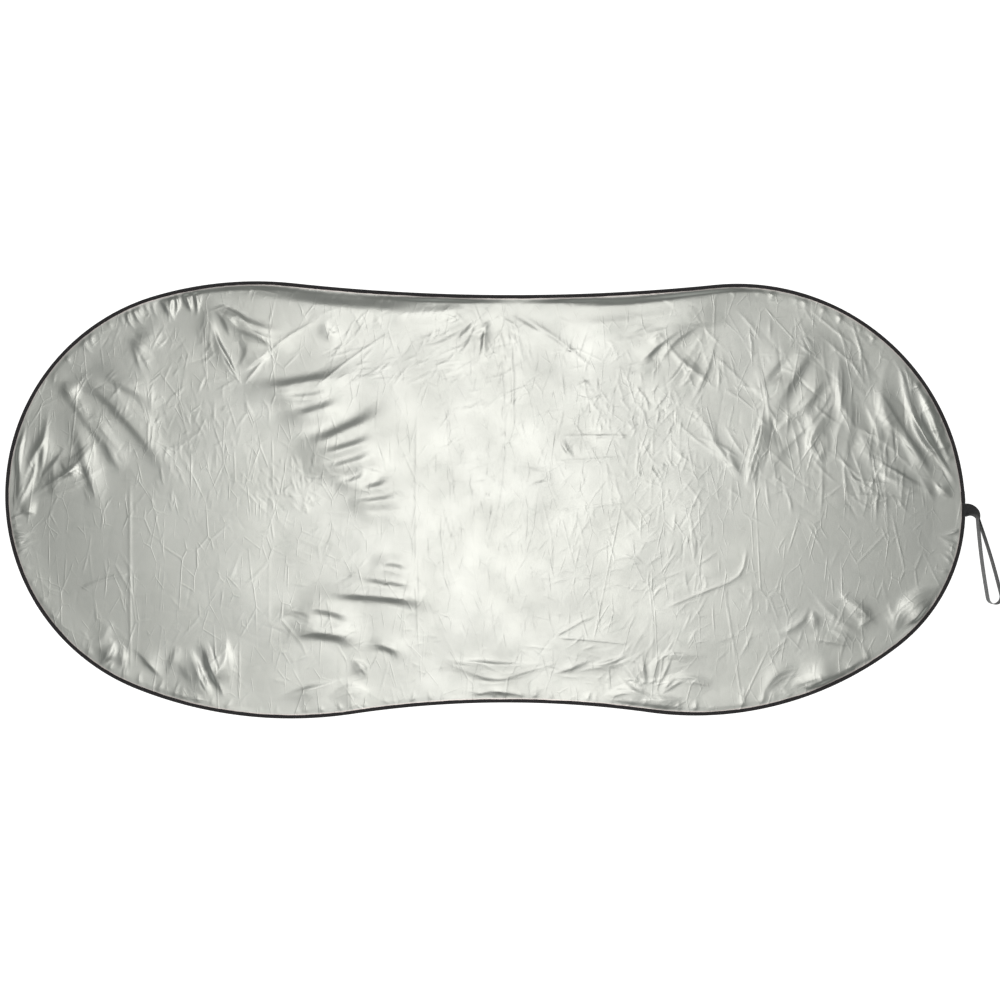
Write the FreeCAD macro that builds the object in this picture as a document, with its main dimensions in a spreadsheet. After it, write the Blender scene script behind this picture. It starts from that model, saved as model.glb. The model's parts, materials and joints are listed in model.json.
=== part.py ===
import FreeCAD, Part
import math
import os

import Sketcher
from FreeCAD import Placement, Rotation, Vector

# A collapsible reflector panel: a peanut-shaped hoop of spring-steel strip in a sewn tape
# channel, with two cloths stretched across it and an elastic storage loop at its right end.
# It lies flat with its reflective face up. Millimetres, +X along the length to the loop's
# end, +Y towards the flatter long edge, +Z up. The hoop is drawn about the middle of its
# waist, and every finished part is moved by origin_shift, so that the origin lies under the
# middle of the box around the panel and its loop.

FOLDS = 6  # bend lines across the waist
REACH = "800"  # past the panel on every side, for the slicing boxes

DIMENSIONS = {
    # where all finished parts are moved along X
    "origin_shift": -28.3,
    # outer edge: the two round ends, the two hollow waist edges at their closest, and
    # the four shoulders that join them
    "right_end_x": 467.7,
    "right_end_y": -16.4,
    "right_end_radius": 259.5,
    "left_end_x": -409.0,
    "left_end_y": 6.0,
    "left_end_radius": 314.3,
    "waist_top_x": 42.5,
    "waist_top_y": 309.0,
    "waist_top_radius": 3059.0,
    "waist_bottom_x": 33.7,
    "waist_bottom_y": -306.9,
    "waist_bottom_radius": 1575.5,
    "right_top_radius": 344.4,
    "left_top_radius": 544.4,
    "left_bottom_radius": 629.2,
    "right_bottom_radius": 502.3,
    # folded edge tape, in section: inward from the outer edge, and up from the floor
    "rim_height": 4.0,
    "rim_width": 5.4,
    "tape_thickness": 0.5,
    "corner_chamfer": 0.7,
    "channel_depth": 2.0,
    "flange_start": 3.1,
    # cloths, meeting at half the rim's height
    "cloth_thickness": 0.25,
    "cloth_inset": 3.2,
    # spring-steel strip, standing on edge in the channel, and its joining ferrule
    "strip_inset": 0.8,
    "strip_thickness": 0.7,
    "strip_height": 2.4,
    "ferrule_wall": 0.2,
    "ferrule_start": 14.0,
    "ferrule_length": 36.0,
    "strip_end_gap": 0.5,
    # seam thread on both faces of the tape
    "seam_inset": 4.3,
    "seam_width": 0.5,
    "seam_height": 0.2,
    # lap of the tape's ends, at the right end
    "lap_thickness": 0.5,
    "lap_overhang": 0.4,
    "lap_start": -4.0,
    "lap_length": 16.0,
    # bend lines
    "fold_spacing": 32.0,
    # elastic storage loop
    "elastic_width": 20.0,
    "elastic_thickness": 1.0,
    "loop_middle": -16.0,
    "tab_overlap": 5.6,
    "tab_reach": 0.6,
    "tab_gap": 0.4,
    "neck_radius": 16.0,
    "loop_reach": 121.0,
    "loop_tip_radius": 11.0,
    "tack_width": 0.6,
    "tack_height": 0.3,
    "tack_margin": 1.0,
    "tack_first": 4.0,
    "tack_second": 4.9,
}

doc = FreeCAD.newDocument("reflector_panel")


def make_sheet():
    """The spreadsheet that every size is bound to."""
    table = doc.addObject("Spreadsheet::Sheet", "Sizes")
    for row, (name, number) in enumerate(DIMENSIONS.items(), start=1):
        table.set(f"A{row}", name)
        table.set(f"B{row}", str(number))
        table.setAlias(f"B{row}", name)
    doc.recompute()
    return table


sizes = make_sheet()


def bound(text):
    """An expression on the spreadsheet, from one that names its cells in braces."""
    return text.replace("{", "Sizes.").replace("}", "")


def value(text):
    """The number that such an expression gives."""
    return float(sizes.evalExpression(bound(text)))


def bind(thing, **properties):
    """Ties properties to the spreadsheet; a double underscore in a name stands for a dot."""
    for name, text in properties.items():
        thing.setExpression(name.replace("__", "."), bound(text))
    return thing


def drive(sketch, constraint, text):
    """Adds a dimensional constraint and binds it to the spreadsheet."""
    index = sketch.addConstraint(constraint)
    sketch.setExpression(f"Constraints[{index}]", bound(text))


# ---------------------------------------------------------------- outline

def crossing(centre_a, radius_a, centre_b, radius_b):
    """Where two circles cross, on the side nearer to the waist."""
    apart = centre_b - centre_a
    along = (radius_a**2 - radius_b**2 + apart.Length**2) / (2 * apart.Length)
    aside = math.sqrt(radius_a**2 - along**2)
    middle = centre_a + apart.normalize() * along
    side = Vector(-apart.y, apart.x, 0) * aside
    return min(middle + side, middle - side, key=lambda point: abs(point.x))


def outline_arcs():
    """The outer edge counter-clockwise from the right end, as rows of the arc's name,
    its centre, and 1 where it is round or -1 where it is hollow."""
    ends = {
        side: Vector(value("{%s_end_x}" % side), value("{%s_end_y}" % side), 0)
        for side in ("right", "left")
    }
    waists = {
        edge: Vector(
            value("{waist_%s_x}" % edge),
            value("{waist_%s_y} + %d * {waist_%s_radius}" % (edge, sign, edge)),
            0,
        )
        for edge, sign in (("top", 1), ("bottom", -1))
    }

    def shoulder(side, edge):
        radius = "{%s_%s_radius}" % (side, edge)
        centre = crossing(
            ends[side],
            value(radius + " - {%s_end_radius}" % side),
            waists[edge],
            value(radius + " + {waist_%s_radius}" % edge),
        )
        return f"{side}_{edge}", centre, 1

    return [
        ("right_end", ends["right"], 1),
        shoulder("right", "top"),
        ("waist_top", waists["top"], -1),
        shoulder("left", "top"),
        ("left_end", ends["left"], 1),
        shoulder("left", "bottom"),
        ("waist_bottom", waists["bottom"], -1),
        shoulder("right", "bottom"),
    ]


def outline(name, inset="0"):
    """A fully constrained sketch of the panel's outline, moved inward by inset."""
    arcs = outline_arcs()
    radii = [value("{%s_radius}" % arc) for arc, _, _ in arcs]
    changes = [-sign * value(inset) for _, _, sign in arcs]
    joints = []  # where each arc meets the next one
    for i, (_, centre, sign) in enumerate(arcs):
        following = (i + 1) % len(arcs)
        _, next_centre, next_sign = arcs[following]
        fuller = radii[i] * sign > radii[following] * next_sign
        ray = (next_centre - centre).normalize() * (sign if fuller else -sign)
        joints.append(centre + ray * (radii[i] + changes[i]))

    sketch = doc.addObject("Sketcher::SketchObject", name)
    for i, (_, centre, sign) in enumerate(arcs):
        circle = Part.Circle(centre, Vector(0, 0, 1), radii[i] + changes[i])
        ends = [joints[i - 1], joints[i]][::sign]
        angles = [math.atan2(end.y - centre.y, end.x - centre.x) for end in ends]
        sketch.addGeometry(Part.ArcOfCircle(circle, *angles))
    for i, (_, _, sign) in enumerate(arcs):
        following = (i + 1) % len(arcs)
        leaves = 2 if sign == 1 else 1
        arrives = 1 if arcs[following][2] == 1 else 2
        sketch.addConstraint(
            Sketcher.Constraint("Tangent", i, leaves, following, arrives)
        )
    for i, (arc, centre, sign) in enumerate(arcs):
        radius = "{%s_radius} %s (%s)" % (arc, "-" if sign == 1 else "+", inset)
        drive(sketch, Sketcher.Constraint("Radius", i, value(radius)), radius)
        if arc.endswith("end") or arc.startswith("waist"):
            across = "{%s_x}" % arc
            along = "{%s_y}" % arc
            if arc == "waist_top":
                along += " + {waist_top_radius}"
            if arc == "waist_bottom":
                along += " - {waist_bottom_radius}"
            drive(sketch, Sketcher.Constraint("DistanceX", -1, 1, i, 3, centre.x), across)
            drive(sketch, Sketcher.Constraint("DistanceY", -1, 1, i, 3, centre.y), along)
    return sketch


# ---------------------------------------------------------------- sections and sweeps

def polygon(name, corners):
    """A sketch of straight lines; each corner is two expressions, across and up."""
    sketch = doc.addObject("Sketcher::SketchObject", name)
    points = [Vector(value(across), value(up), 0) for across, up in corners]
    count = len(points)
    for a, b in zip(points, points[1:] + points[:1]):
        sketch.addGeometry(Part.LineSegment(a, b))
    for i in range(count):
        sketch.addConstraint(Sketcher.Constraint("Coincident", i, 2, (i + 1) % count, 1))
    for i, (across, up) in enumerate(corners):
        drive(sketch, Sketcher.Constraint("DistanceX", -1, 1, i, 1, points[i].x), across)
        drive(sketch, Sketcher.Constraint("DistanceY", -1, 1, i, 1, points[i].y), up)
    return sketch


def rectangle(name, left, right, low, high):
    return polygon(name, [(left, low), (right, low), (right, high), (left, high)])


# A section stands across the waist's top edge: its X points into the panel and its Y up.
SECTION_TURN = Rotation(Vector(0, -1, 0), Vector(0, 0, 1), Vector(-1, 0, 0), "ZXY")


def swept(name, section, edge):
    """A section drawn inward from the outer edge and up from the floor, swept round it."""
    section.Placement = Placement(Vector(0, 0, 0), SECTION_TURN)
    bind(section, Placement__Base__x="{waist_top_x}", Placement__Base__y="{waist_top_y}")
    sweep = doc.addObject("Part::Sweep", name)
    sweep.Sections = [section]
    sweep.Spine = (edge, [f"Edge{i + 1}" for i in range(8)])
    sweep.Solid = True
    sweep.Frenet = False
    return sweep


def tape_section():
    """The edge tape folded round the strip's channel, its two legs closing on the cloths."""
    top = "{rim_height}"
    wall = "{tape_thickness}"
    chamfer = "{corner_chamfer}"
    inside = "{channel_depth} - {tape_thickness} * 0.41"
    cloth_top = "{rim_height} / 2 + {cloth_thickness}"
    cloth_bottom = "{rim_height} / 2 - {cloth_thickness}"
    slope = "{flange_start} - {tape_thickness} * 0.41"
    return polygon(
        "tape_section",
        [
            ("0", chamfer),
            ("0", f"{top} - {chamfer}"),
            (chamfer, top),
            ("{channel_depth}", top),
            ("{flange_start}", f"{cloth_top} + {wall}"),
            ("{rim_width}", f"{cloth_top} + {wall}"),
            ("{rim_width}", cloth_top),
            (slope, cloth_top),
            (inside, f"{top} - {wall}"),
            (wall, f"{top} - {wall}"),
            (wall, wall),
            (inside, wall),
            (slope, cloth_bottom),
            ("{rim_width}", cloth_bottom),
            ("{rim_width}", f"{cloth_bottom} - {wall}"),
            ("{flange_start}", f"{cloth_bottom} - {wall}"),
            ("{channel_depth}", "0"),
            (chamfer, "0"),
        ],
    )


FLANGE_TOP = "{rim_height} / 2 + {cloth_thickness} + {tape_thickness}"
FLANGE_BOTTOM = "{rim_height} / 2 - {cloth_thickness} - {tape_thickness}"
STRIP_LOW = "({rim_height} - {strip_height}) / 2"
STRIP_HIGH = "({rim_height} + {strip_height}) / 2"


def over_the_rim(name, outer_end, inner_end, thickness, low=None):
    """A layer that lies on the tape's upper side, from outer_end to inner_end."""
    top = "{rim_height}"
    under = [
        (inner_end, FLANGE_TOP),
        ("{flange_start}", FLANGE_TOP),
        ("{channel_depth}", top),
    ]
    over = [
        ("{channel_depth} + 0.41 * %s" % thickness, f"{top} + {thickness}"),
        ("{flange_start} + 0.41 * %s" % thickness, f"{FLANGE_TOP} + {thickness}"),
        (inner_end, f"{FLANGE_TOP} + {thickness}"),
    ]
    if low is None:  # it ends in the air, past the outer edge
        outer = [(outer_end, top), (outer_end, f"{top} + {thickness}")]
    else:  # it turns down over the outer edge
        outer = [
            ("{corner_chamfer}", top),
            ("0", f"{top} - {{corner_chamfer}}"),
            ("0", low),
            (outer_end, low),
            (outer_end, f"{top} - {{corner_chamfer}}"),
            ("{corner_chamfer}", f"{top} + {thickness}"),
        ]
    return polygon(name, under + outer + over)


# ---------------------------------------------------------------- slicing

def slab(name, x_low, x_high, y_low=f"-{REACH}", y_high=REACH):
    """A tall box between two X values and two Y values."""
    box = doc.addObject("Part::Box", name)
    bind(
        box,
        Length=f"({x_high}) - ({x_low})",
        Width=f"({y_high}) - ({y_low})",
        Height=f"2 * {REACH}",
        Placement__Base__x=x_low,
        Placement__Base__y=y_low,
        Placement__Base__z=f"-{REACH}",
    )
    return box


def boolean(kind, name, base, tool):
    result = doc.addObject(f"Part::{kind}", name)
    result.Base = base
    result.Tool = tool
    result.Label = name
    return result


def bend_line(number):
    """X of a bend line, counted from 1 at the left."""
    return "%g * {fold_spacing}" % (number - (FOLDS + 1) / 2)


# ---------------------------------------------------------------- the panel

edge = outline("outer_edge")
cloth_edge = outline("cloth_edge", "{cloth_inset}")

tape = swept("tape", tape_section(), edge)
strip = swept(
    "strip",
    rectangle(
        "strip_section",
        "{strip_inset}",
        "{strip_inset} + {strip_thickness}",
        STRIP_LOW,
        STRIP_HIGH,
    ),
    edge,
)


def seam():
    """The lockstitch: needle thread on the tape's upper leg, bobbin thread under the lower."""
    threads = []
    sides = (
        ("needle_thread", FLANGE_TOP, f"{FLANGE_TOP} + {{seam_height}}"),
        ("bobbin_thread", f"{FLANGE_BOTTOM} - {{seam_height}}", FLANGE_BOTTOM),
    )
    for name, low, high in sides:
        section = rectangle(
            name + "_section",
            "{seam_inset} - {seam_width} / 2",
            "{seam_inset} + {seam_width} / 2",
            low,
            high,
        )
        threads.append(swept(name, section, edge))
    both = doc.addObject("Part::Compound", "seam_threads")
    both.Links = threads
    return both


def cloth(name, upward):
    """One cloth, from the rim's middle height up or down by its thickness."""
    sheet = doc.addObject("Part::Extrusion", name)
    sheet.Base = cloth_edge
    sheet.DirMode = "Custom"
    sheet.Dir = Vector(0, 0, 1 if upward else -1)
    sheet.Solid = True
    bind(sheet, LengthFwd="{cloth_thickness}", Placement__Base__z="{rim_height} / 2")
    return sheet


def across_the_panel():
    """The five continuous layers, cut at the bend lines so that the waist can fold."""
    layers = {
        "frame_strip": strip,
        "edge_tape": tape,
        "tape_seam": seam(),
        "reflective_cloth": cloth("reflective", True),
        "backing_cloth": cloth("backing", False),
    }
    bends = [bend_line(number) for number in range(1, FOLDS + 1)]
    marks = [f"-{REACH}"] + bends + [REACH]
    places = ["left"] + [f"waist_{k}" for k in range(1, FOLDS)] + ["right"]
    pieces = {}
    for place, low, high in zip(places, marks, marks[1:]):
        box = slab(f"box_{place}", low, high)
        for layer, whole in layers.items():
            name = f"{layer}_{place}"
            pieces[name] = boolean("Common", name, whole, box)
    return pieces


parts = across_the_panel()


def right_end_slab(name, start, length):
    """A box over the panel's right end, from Y start for length."""
    return slab(name, "{right_end_x}", REACH, start, f"({start}) + ({length})")


def at_right_end(name, layer, start, length):
    """The stretch of a swept layer at the panel's right end, from Y start for length."""
    return boolean("Common", name, layer, right_end_slab(name + "_box", start, length))


def over_the_seam(name, layer, start, length):
    """The same for a layer lying over the seam, whose needle thread beds into it."""
    whole = at_right_end(name + "_before_seam", layer, start, length)
    return boolean("Cut", name, whole, doc.getObject("needle_thread"))


def strip_joint():
    """The crimped ferrule, and the gap between the strip's two ends inside it."""
    around = rectangle(
        "ferrule_outside",
        "{strip_inset} - {ferrule_wall}",
        "{strip_inset} + {strip_thickness} + {ferrule_wall}",
        f"{STRIP_LOW} - {{ferrule_wall}}",
        f"{STRIP_HIGH} + {{ferrule_wall}}",
    )
    sleeve = boolean("Cut", "sleeve", swept("sleeve_outside", around, edge), strip)
    parts["strip_ferrule"] = at_right_end(
        "strip_ferrule", sleeve, "{ferrule_start}", "{ferrule_length}"
    )
    gap = right_end_slab(
        "strip_gap",
        "{ferrule_start} + ({ferrule_length} - {strip_end_gap}) / 2",
        "{strip_end_gap}",
    )
    whole = parts["frame_strip_right"]
    whole.Label = "right_strip_before_gap"
    parts["frame_strip_right"] = boolean("Cut", "frame_strip_right_cut", whole, gap)
    parts["frame_strip_right"].Label = "frame_strip_right"


def tape_lap():
    """The tape's folded end, lying over its beginning on the upper and outer sides."""
    section = over_the_rim(
        "lap_section",
        "-{lap_thickness}",
        "{rim_width} + {lap_overhang}",
        "{lap_thickness}",
        low="{corner_chamfer}",
    )
    layer = swept("lap_layer", section, edge)
    parts["edge_tape_lap"] = over_the_seam(
        "edge_tape_lap", layer, "{lap_start}", "{lap_length}"
    )


# ---------------------------------------------------------------- the elastic loop

DOUBLED = "2 * {elastic_thickness}"
NECK_STEPS = (
    # heading below +X in degrees, twist in degrees, and height of the elastic's middle
    (0.0, 0.0, "{rim_height} + {elastic_thickness}"),
    (26.0, 35.0, "{elastic_width} * 0.36"),
    (52.0, 65.0, "{elastic_width} * 0.49"),
    (78.0, 90.0, "{elastic_width} / 2"),
)


def loop_tab():
    """The elastic's two ends, sewn over the tape, and the two bar tacks on them."""
    start = "{loop_middle} - {elastic_width} / 2"
    section = over_the_rim("tab_section", "-{tab_reach}", "{tab_overlap}", f"({DOUBLED})")
    layer = swept("tab_layer", section, edge)
    parts["loop_tab"] = over_the_seam("loop_tab", layer, start, "{elastic_width}")
    tacks = []
    for name, inset in (("first", "{tack_first}"), ("second", "{tack_second}")):
        section = rectangle(
            f"{name}_tack_section",
            inset,
            f"{inset} + {{tack_width}}",
            f"{FLANGE_TOP} + {DOUBLED}",
            f"{FLANGE_TOP} + {DOUBLED} + {{tack_height}}",
        )
        tacks.append(swept(f"{name}_tack", section, edge))
    both = doc.addObject("Part::Compound", "tack_layers")
    both.Links = tacks
    parts["loop_bar_tacks"] = at_right_end(
        "loop_bar_tacks",
        both,
        f"{start} + {{tack_margin}}",
        "{elastic_width} - 2 * {tack_margin}",
    )


def neck_place(heading):
    """X and Y on the neck's curve where it has turned to a heading below +X."""
    start = "{right_end_x} + {right_end_radius} + {tab_reach} + {tab_gap}"
    turned = math.radians(heading)
    radius = value("{neck_radius}")
    return (
        value(start) + radius * math.sin(turned),
        value("{loop_middle}") - radius * (1 - math.cos(turned)),
    )


def loop_neck():
    """The doubled elastic from the rim to where it stands on its edge, a quarter turn on."""
    sections = []
    for number, (heading, twist, height) in enumerate(NECK_STEPS):
        section = rectangle(
            f"neck_section_{number}",
            "-{elastic_width} / 2",
            "{elastic_width} / 2",
            "-{elastic_thickness}",
            "{elastic_thickness}",
        )
        x, y = neck_place(heading)
        turned = math.radians(heading)
        ahead = Vector(math.cos(turned), -math.sin(turned), 0)
        level = Vector(math.sin(turned), math.cos(turned), 0)
        lean = math.radians(twist)
        width = level * math.cos(lean) + Vector(0, 0, math.sin(lean))
        section.Placement = Placement(
            Vector(x, y, 0), Rotation(width, ahead.cross(width), ahead, "ZXY")
        )
        bind(section, Placement__Base__z=height)
        sections.append(section)
    neck = doc.addObject("Part::Loft", "loop_neck")
    neck.Sections = sections
    neck.Solid = True
    return neck


def teardrop(name, start_half_width, radius):
    """Two lines from the loop's neck, tangent to a round tip, along the sketch's own X."""
    sketch = doc.addObject("Sketcher::SketchObject", name)
    reach, half, tip = value("{loop_reach}"), value(start_half_width), value(radius)
    lean = math.asin((tip - half) / reach)
    touch = Vector(reach - tip * math.sin(lean), tip * math.cos(lean), 0)
    lower = Vector(touch.x, -touch.y, 0)
    start, foot = Vector(0, half, 0), Vector(0, -half, 0)
    arc = Part.Circle(Vector(reach, 0, 0), Vector(0, 0, 1), tip)
    opening = math.atan2(touch.y, touch.x - reach)
    sketch.addGeometry(Part.LineSegment(start, touch))
    sketch.addGeometry(Part.ArcOfCircle(arc, -opening, opening))
    sketch.addGeometry(Part.LineSegment(lower, foot))
    sketch.addConstraint(Sketcher.Constraint("Tangent", 0, 2, 1, 2))
    sketch.addConstraint(Sketcher.Constraint("Tangent", 1, 1, 2, 1))
    drive(sketch, Sketcher.Constraint("Radius", 1, tip), radius)
    drive(sketch, Sketcher.Constraint("DistanceX", -1, 1, 1, 3, reach), "{loop_reach}")
    sketch.addConstraint(Sketcher.Constraint("PointOnObject", 1, 3, -1))
    if half:
        sketch.addGeometry(Part.LineSegment(foot, start))
        sketch.addConstraint(Sketcher.Constraint("Coincident", 2, 2, 3, 1))
        sketch.addConstraint(Sketcher.Constraint("Coincident", 3, 2, 0, 1))
        sketch.addConstraint(Sketcher.Constraint("PointOnObject", 0, 1, -2))
        sketch.addConstraint(Sketcher.Constraint("PointOnObject", 2, 2, -2))
        drive(
            sketch,
            Sketcher.Constraint("DistanceY", -1, 1, 0, 1, half),
            start_half_width,
        )
        drive(
            sketch,
            Sketcher.Constraint("DistanceY", 2, 2, -1, 1, half),
            start_half_width,
        )
    else:
        sketch.addConstraint(Sketcher.Constraint("Coincident", 2, 2, 0, 1))
        sketch.addConstraint(Sketcher.Constraint("Coincident", 0, 1, -1, 1))
    heading = NECK_STEPS[-1][0]
    x, y = neck_place(heading)
    sketch.Placement = Placement(Vector(x, y, 0), Rotation(Vector(0, 0, 1), -heading))
    prism = doc.addObject("Part::Extrusion", name + "_prism")
    prism.Base = sketch
    prism.DirMode = "Custom"
    prism.Dir = Vector(0, 0, 1)
    prism.Solid = True
    bind(prism, LengthFwd="{elastic_width}")
    return prism


def storage_loop():
    """The elastic's free part: its twisted neck, and the open loop standing on its edge."""
    outside = teardrop("loop_outside", "{elastic_thickness}", "{loop_tip_radius}")
    inside = teardrop("loop_inside", "0", "{loop_tip_radius} - {elastic_thickness}")
    ring = boolean("Cut", "loop_ring", outside, inside)
    parts["storage_loop"] = boolean("Fuse", "storage_loop", ring, loop_neck())


strip_joint()
tape_lap()
loop_tab()
storage_loop()


# ---------------------------------------------------------------- checks and export

def check_and_export():
    for part in parts.values():
        bind(part, Placement__Base__x="{origin_shift}")
    doc.recompute()
    for thing in doc.Objects:
        if {"Invalid", "Error"} & set(thing.State):
            raise RuntimeError(f"{thing.Name} is {thing.State}")
    for name, part in parts.items():
        if part.Label != name:
            raise RuntimeError(f"{name} is labelled {part.Label}")
        shape = part.Shape
        if shape.isNull() or not shape.isValid() or not shape.Solids:
            raise RuntimeError(f"{name} has no valid solid")
    os.makedirs("parts", exist_ok=True)
    for name, part in parts.items():
        part.Shape.exportStep(f"parts/{name}.step")
    print(f"{len(parts)} parts written")


check_and_export()
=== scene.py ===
import itertools
import json
import math

import bpy
import numpy as np
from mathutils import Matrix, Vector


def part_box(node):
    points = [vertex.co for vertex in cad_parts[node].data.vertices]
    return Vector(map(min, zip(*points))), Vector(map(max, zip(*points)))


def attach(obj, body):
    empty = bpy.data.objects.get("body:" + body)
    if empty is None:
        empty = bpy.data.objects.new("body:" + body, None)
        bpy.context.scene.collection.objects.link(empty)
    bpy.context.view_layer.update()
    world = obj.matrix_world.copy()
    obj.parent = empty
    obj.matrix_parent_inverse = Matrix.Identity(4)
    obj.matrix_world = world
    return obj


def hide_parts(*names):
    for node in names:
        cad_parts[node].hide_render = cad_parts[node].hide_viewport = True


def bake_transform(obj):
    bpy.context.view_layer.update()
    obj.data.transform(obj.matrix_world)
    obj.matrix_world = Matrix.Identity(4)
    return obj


# The looks of a collapsible reflector panel. Lengths in this script are millimetres in the
# panel's own coordinates, about the middle of its waist; make_piece() moves them into the
# row frame and turns them into metres.

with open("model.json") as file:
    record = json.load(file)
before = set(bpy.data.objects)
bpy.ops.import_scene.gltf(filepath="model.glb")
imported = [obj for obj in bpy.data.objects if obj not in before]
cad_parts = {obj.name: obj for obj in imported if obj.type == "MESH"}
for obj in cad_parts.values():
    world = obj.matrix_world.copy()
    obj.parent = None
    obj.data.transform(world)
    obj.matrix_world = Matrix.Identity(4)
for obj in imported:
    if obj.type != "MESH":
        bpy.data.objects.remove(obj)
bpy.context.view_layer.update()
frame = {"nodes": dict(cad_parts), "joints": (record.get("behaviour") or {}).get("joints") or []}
RANDOM_SEED = 20
BEYOND = 1e9  # further away than any point

# ---------------------------------------------------------------- the panel's outline

# Round ends as centre and radius, and the hollow waist edges as closest point and radius.
RIGHT_END = (467.7, -16.4, 259.5)
LEFT_END = (-409.0, 6.0, 314.3)
WAIST_TOP = (42.5, 309.0, 3059.0)
WAIST_BOTTOM = (33.7, -306.9, 1575.5)
SHOULDERS = {"right_top": 344.4, "left_top": 544.4, "left_bottom": 629.2, "right_bottom": 502.3}

RIM_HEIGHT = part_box("edge_tape_left")[1].z * 1000
RIM_WIDTH = 5.4
TAPE_START = 2.6  # how far inside the outer edge the tape's flanges begin
CLOTH_INSET = 3.4
CLOTH_LEVEL = RIM_HEIGHT / 2 + 0.12
LOWEST_CLOTH = 0.7
FAR_CUTS = (-330.0, 300.0)
PANEL_REACH = 340.0  # a little more than half the panel's width
BACKING_GAP = 0.3
BACKING_SHARE = 0.35  # how much of the reflective cloth's height the lining follows
BACKING_REACH = 30.0  # how far inside the rim it comes down to that share
LOWEST_BACKING = 0.15
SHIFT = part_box("edge_tape_right")[1].x * 1000 - (RIGHT_END[0] + RIGHT_END[2])

HINGES = [j["pos_m"][0] * 1000 - SHIFT for j in frame["joints"] if j["name"].startswith("fold")]
CUTS = [(a + b) / 2 for a, b in zip(HINGES, HINGES[1:])]
WAIST = [f"waist_{k}" for k in range(1, len(HINGES))]
PLACES = ["left", *WAIST, "right"]


def ray_at(angle):
    """The unit vector with that heading."""
    return np.array([math.cos(angle), math.sin(angle)])


def left_of(ray):
    """The vector turned a quarter to the left."""
    return np.array([-ray[1], ray[0]])


def crossing(centre_a, radius_a, centre_b, radius_b):
    """Where two circles cross, on the side nearer to the waist."""
    apart = centre_b - centre_a
    length = np.hypot(*apart)
    along = (radius_a**2 - radius_b**2 + length**2) / (2 * length)
    aside = math.sqrt(radius_a**2 - along**2)
    middle = centre_a + apart / length * along
    side = left_of(apart) / length * aside
    return min(middle + side, middle - side, key=lambda point: abs(point[0]))


def outline_arcs():
    """The outer edge counter-clockwise from the right end: centre, radius, and 1 if round
    or -1 if hollow, with the angles where each arc starts and ends."""
    ends = {"right": RIGHT_END, "left": LEFT_END}
    waists = {"top": WAIST_TOP, "bottom": WAIST_BOTTOM}

    def waist(edge):
        x, y, radius = waists[edge]
        return np.array([x, y + math.copysign(radius, y)]), radius

    def shoulder(side, edge):
        radius = SHOULDERS[f"{side}_{edge}"]
        *end, end_radius = ends[side]
        centre, waist_radius = waist(edge)
        found = crossing(np.array(end), radius - end_radius, centre, radius + waist_radius)
        return found, radius, 1

    arcs = [
        (np.array(RIGHT_END[:2]), RIGHT_END[2], 1),
        shoulder("right", "top"),
        (*waist("top"), -1),
        shoulder("left", "top"),
        (np.array(LEFT_END[:2]), LEFT_END[2], 1),
        shoulder("left", "bottom"),
        (*waist("bottom"), -1),
        shoulder("right", "bottom"),
    ]
    joints = []
    for i, (centre, radius, sign) in enumerate(arcs):
        next_centre, next_radius, next_sign = arcs[(i + 1) % len(arcs)]
        ray = (next_centre - centre) / np.hypot(*(next_centre - centre))
        fuller = radius * sign > next_radius * next_sign
        joints.append(centre + ray * radius * (sign if fuller else -sign))
    rows = []
    for i, (centre, radius, sign) in enumerate(arcs):
        start = math.atan2(*(joints[i - 1] - centre)[::-1])
        end = math.atan2(*(joints[i] - centre)[::-1])
        turn = (end - start + math.pi) % (2 * math.pi) - math.pi
        rows.append((centre, radius, sign, start, turn))
    return rows


ARCS = outline_arcs()
ARC_STARTS = np.concatenate([[0], np.cumsum([abs(t) * r for _, r, _, _, t in ARCS])])
PERIMETER = ARC_STARTS[-1]


def on_outline(distance):
    """Points on the outer edge at distances along it, and the outward unit normals."""
    distance = np.asarray(distance, float) % PERIMETER
    points = np.zeros((len(distance), 2))
    normals = np.zeros((len(distance), 2))
    for (centre, radius, sign, start, turn), begin in zip(ARCS, ARC_STARTS):
        length = abs(turn) * radius
        here = (distance >= begin) & (distance < begin + length)
        angle = start + turn * (distance[here] - begin) / length
        ray = np.stack([np.cos(angle), np.sin(angle)], axis=1)
        points[here] = centre + ray * radius
        normals[here] = ray * sign
    return points, normals


def from_outline(x, y):
    """How far points lie inside the outer edge, and where along it they are nearest."""
    depth = np.full(x.shape, BEYOND)
    along = np.zeros(x.shape)
    for (centre, radius, sign, start, turn), begin in zip(ARCS, ARC_STARTS):
        dx = x - centre[0]
        dy = y - centre[1]
        inside = sign * (radius - np.hypot(dx, dy))
        angle = np.arctan2(dy, dx)
        share = ((angle - start) * math.copysign(1, turn)) % (2 * math.pi) / abs(turn)
        nearer = (share <= 1.0) & (inside < depth)
        depth = np.where(nearer, inside, depth)
        along = np.where(nearer, begin + share * abs(turn) * radius, along)
    return depth, along


# ---------------------------------------------------------------- making pieces

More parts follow.
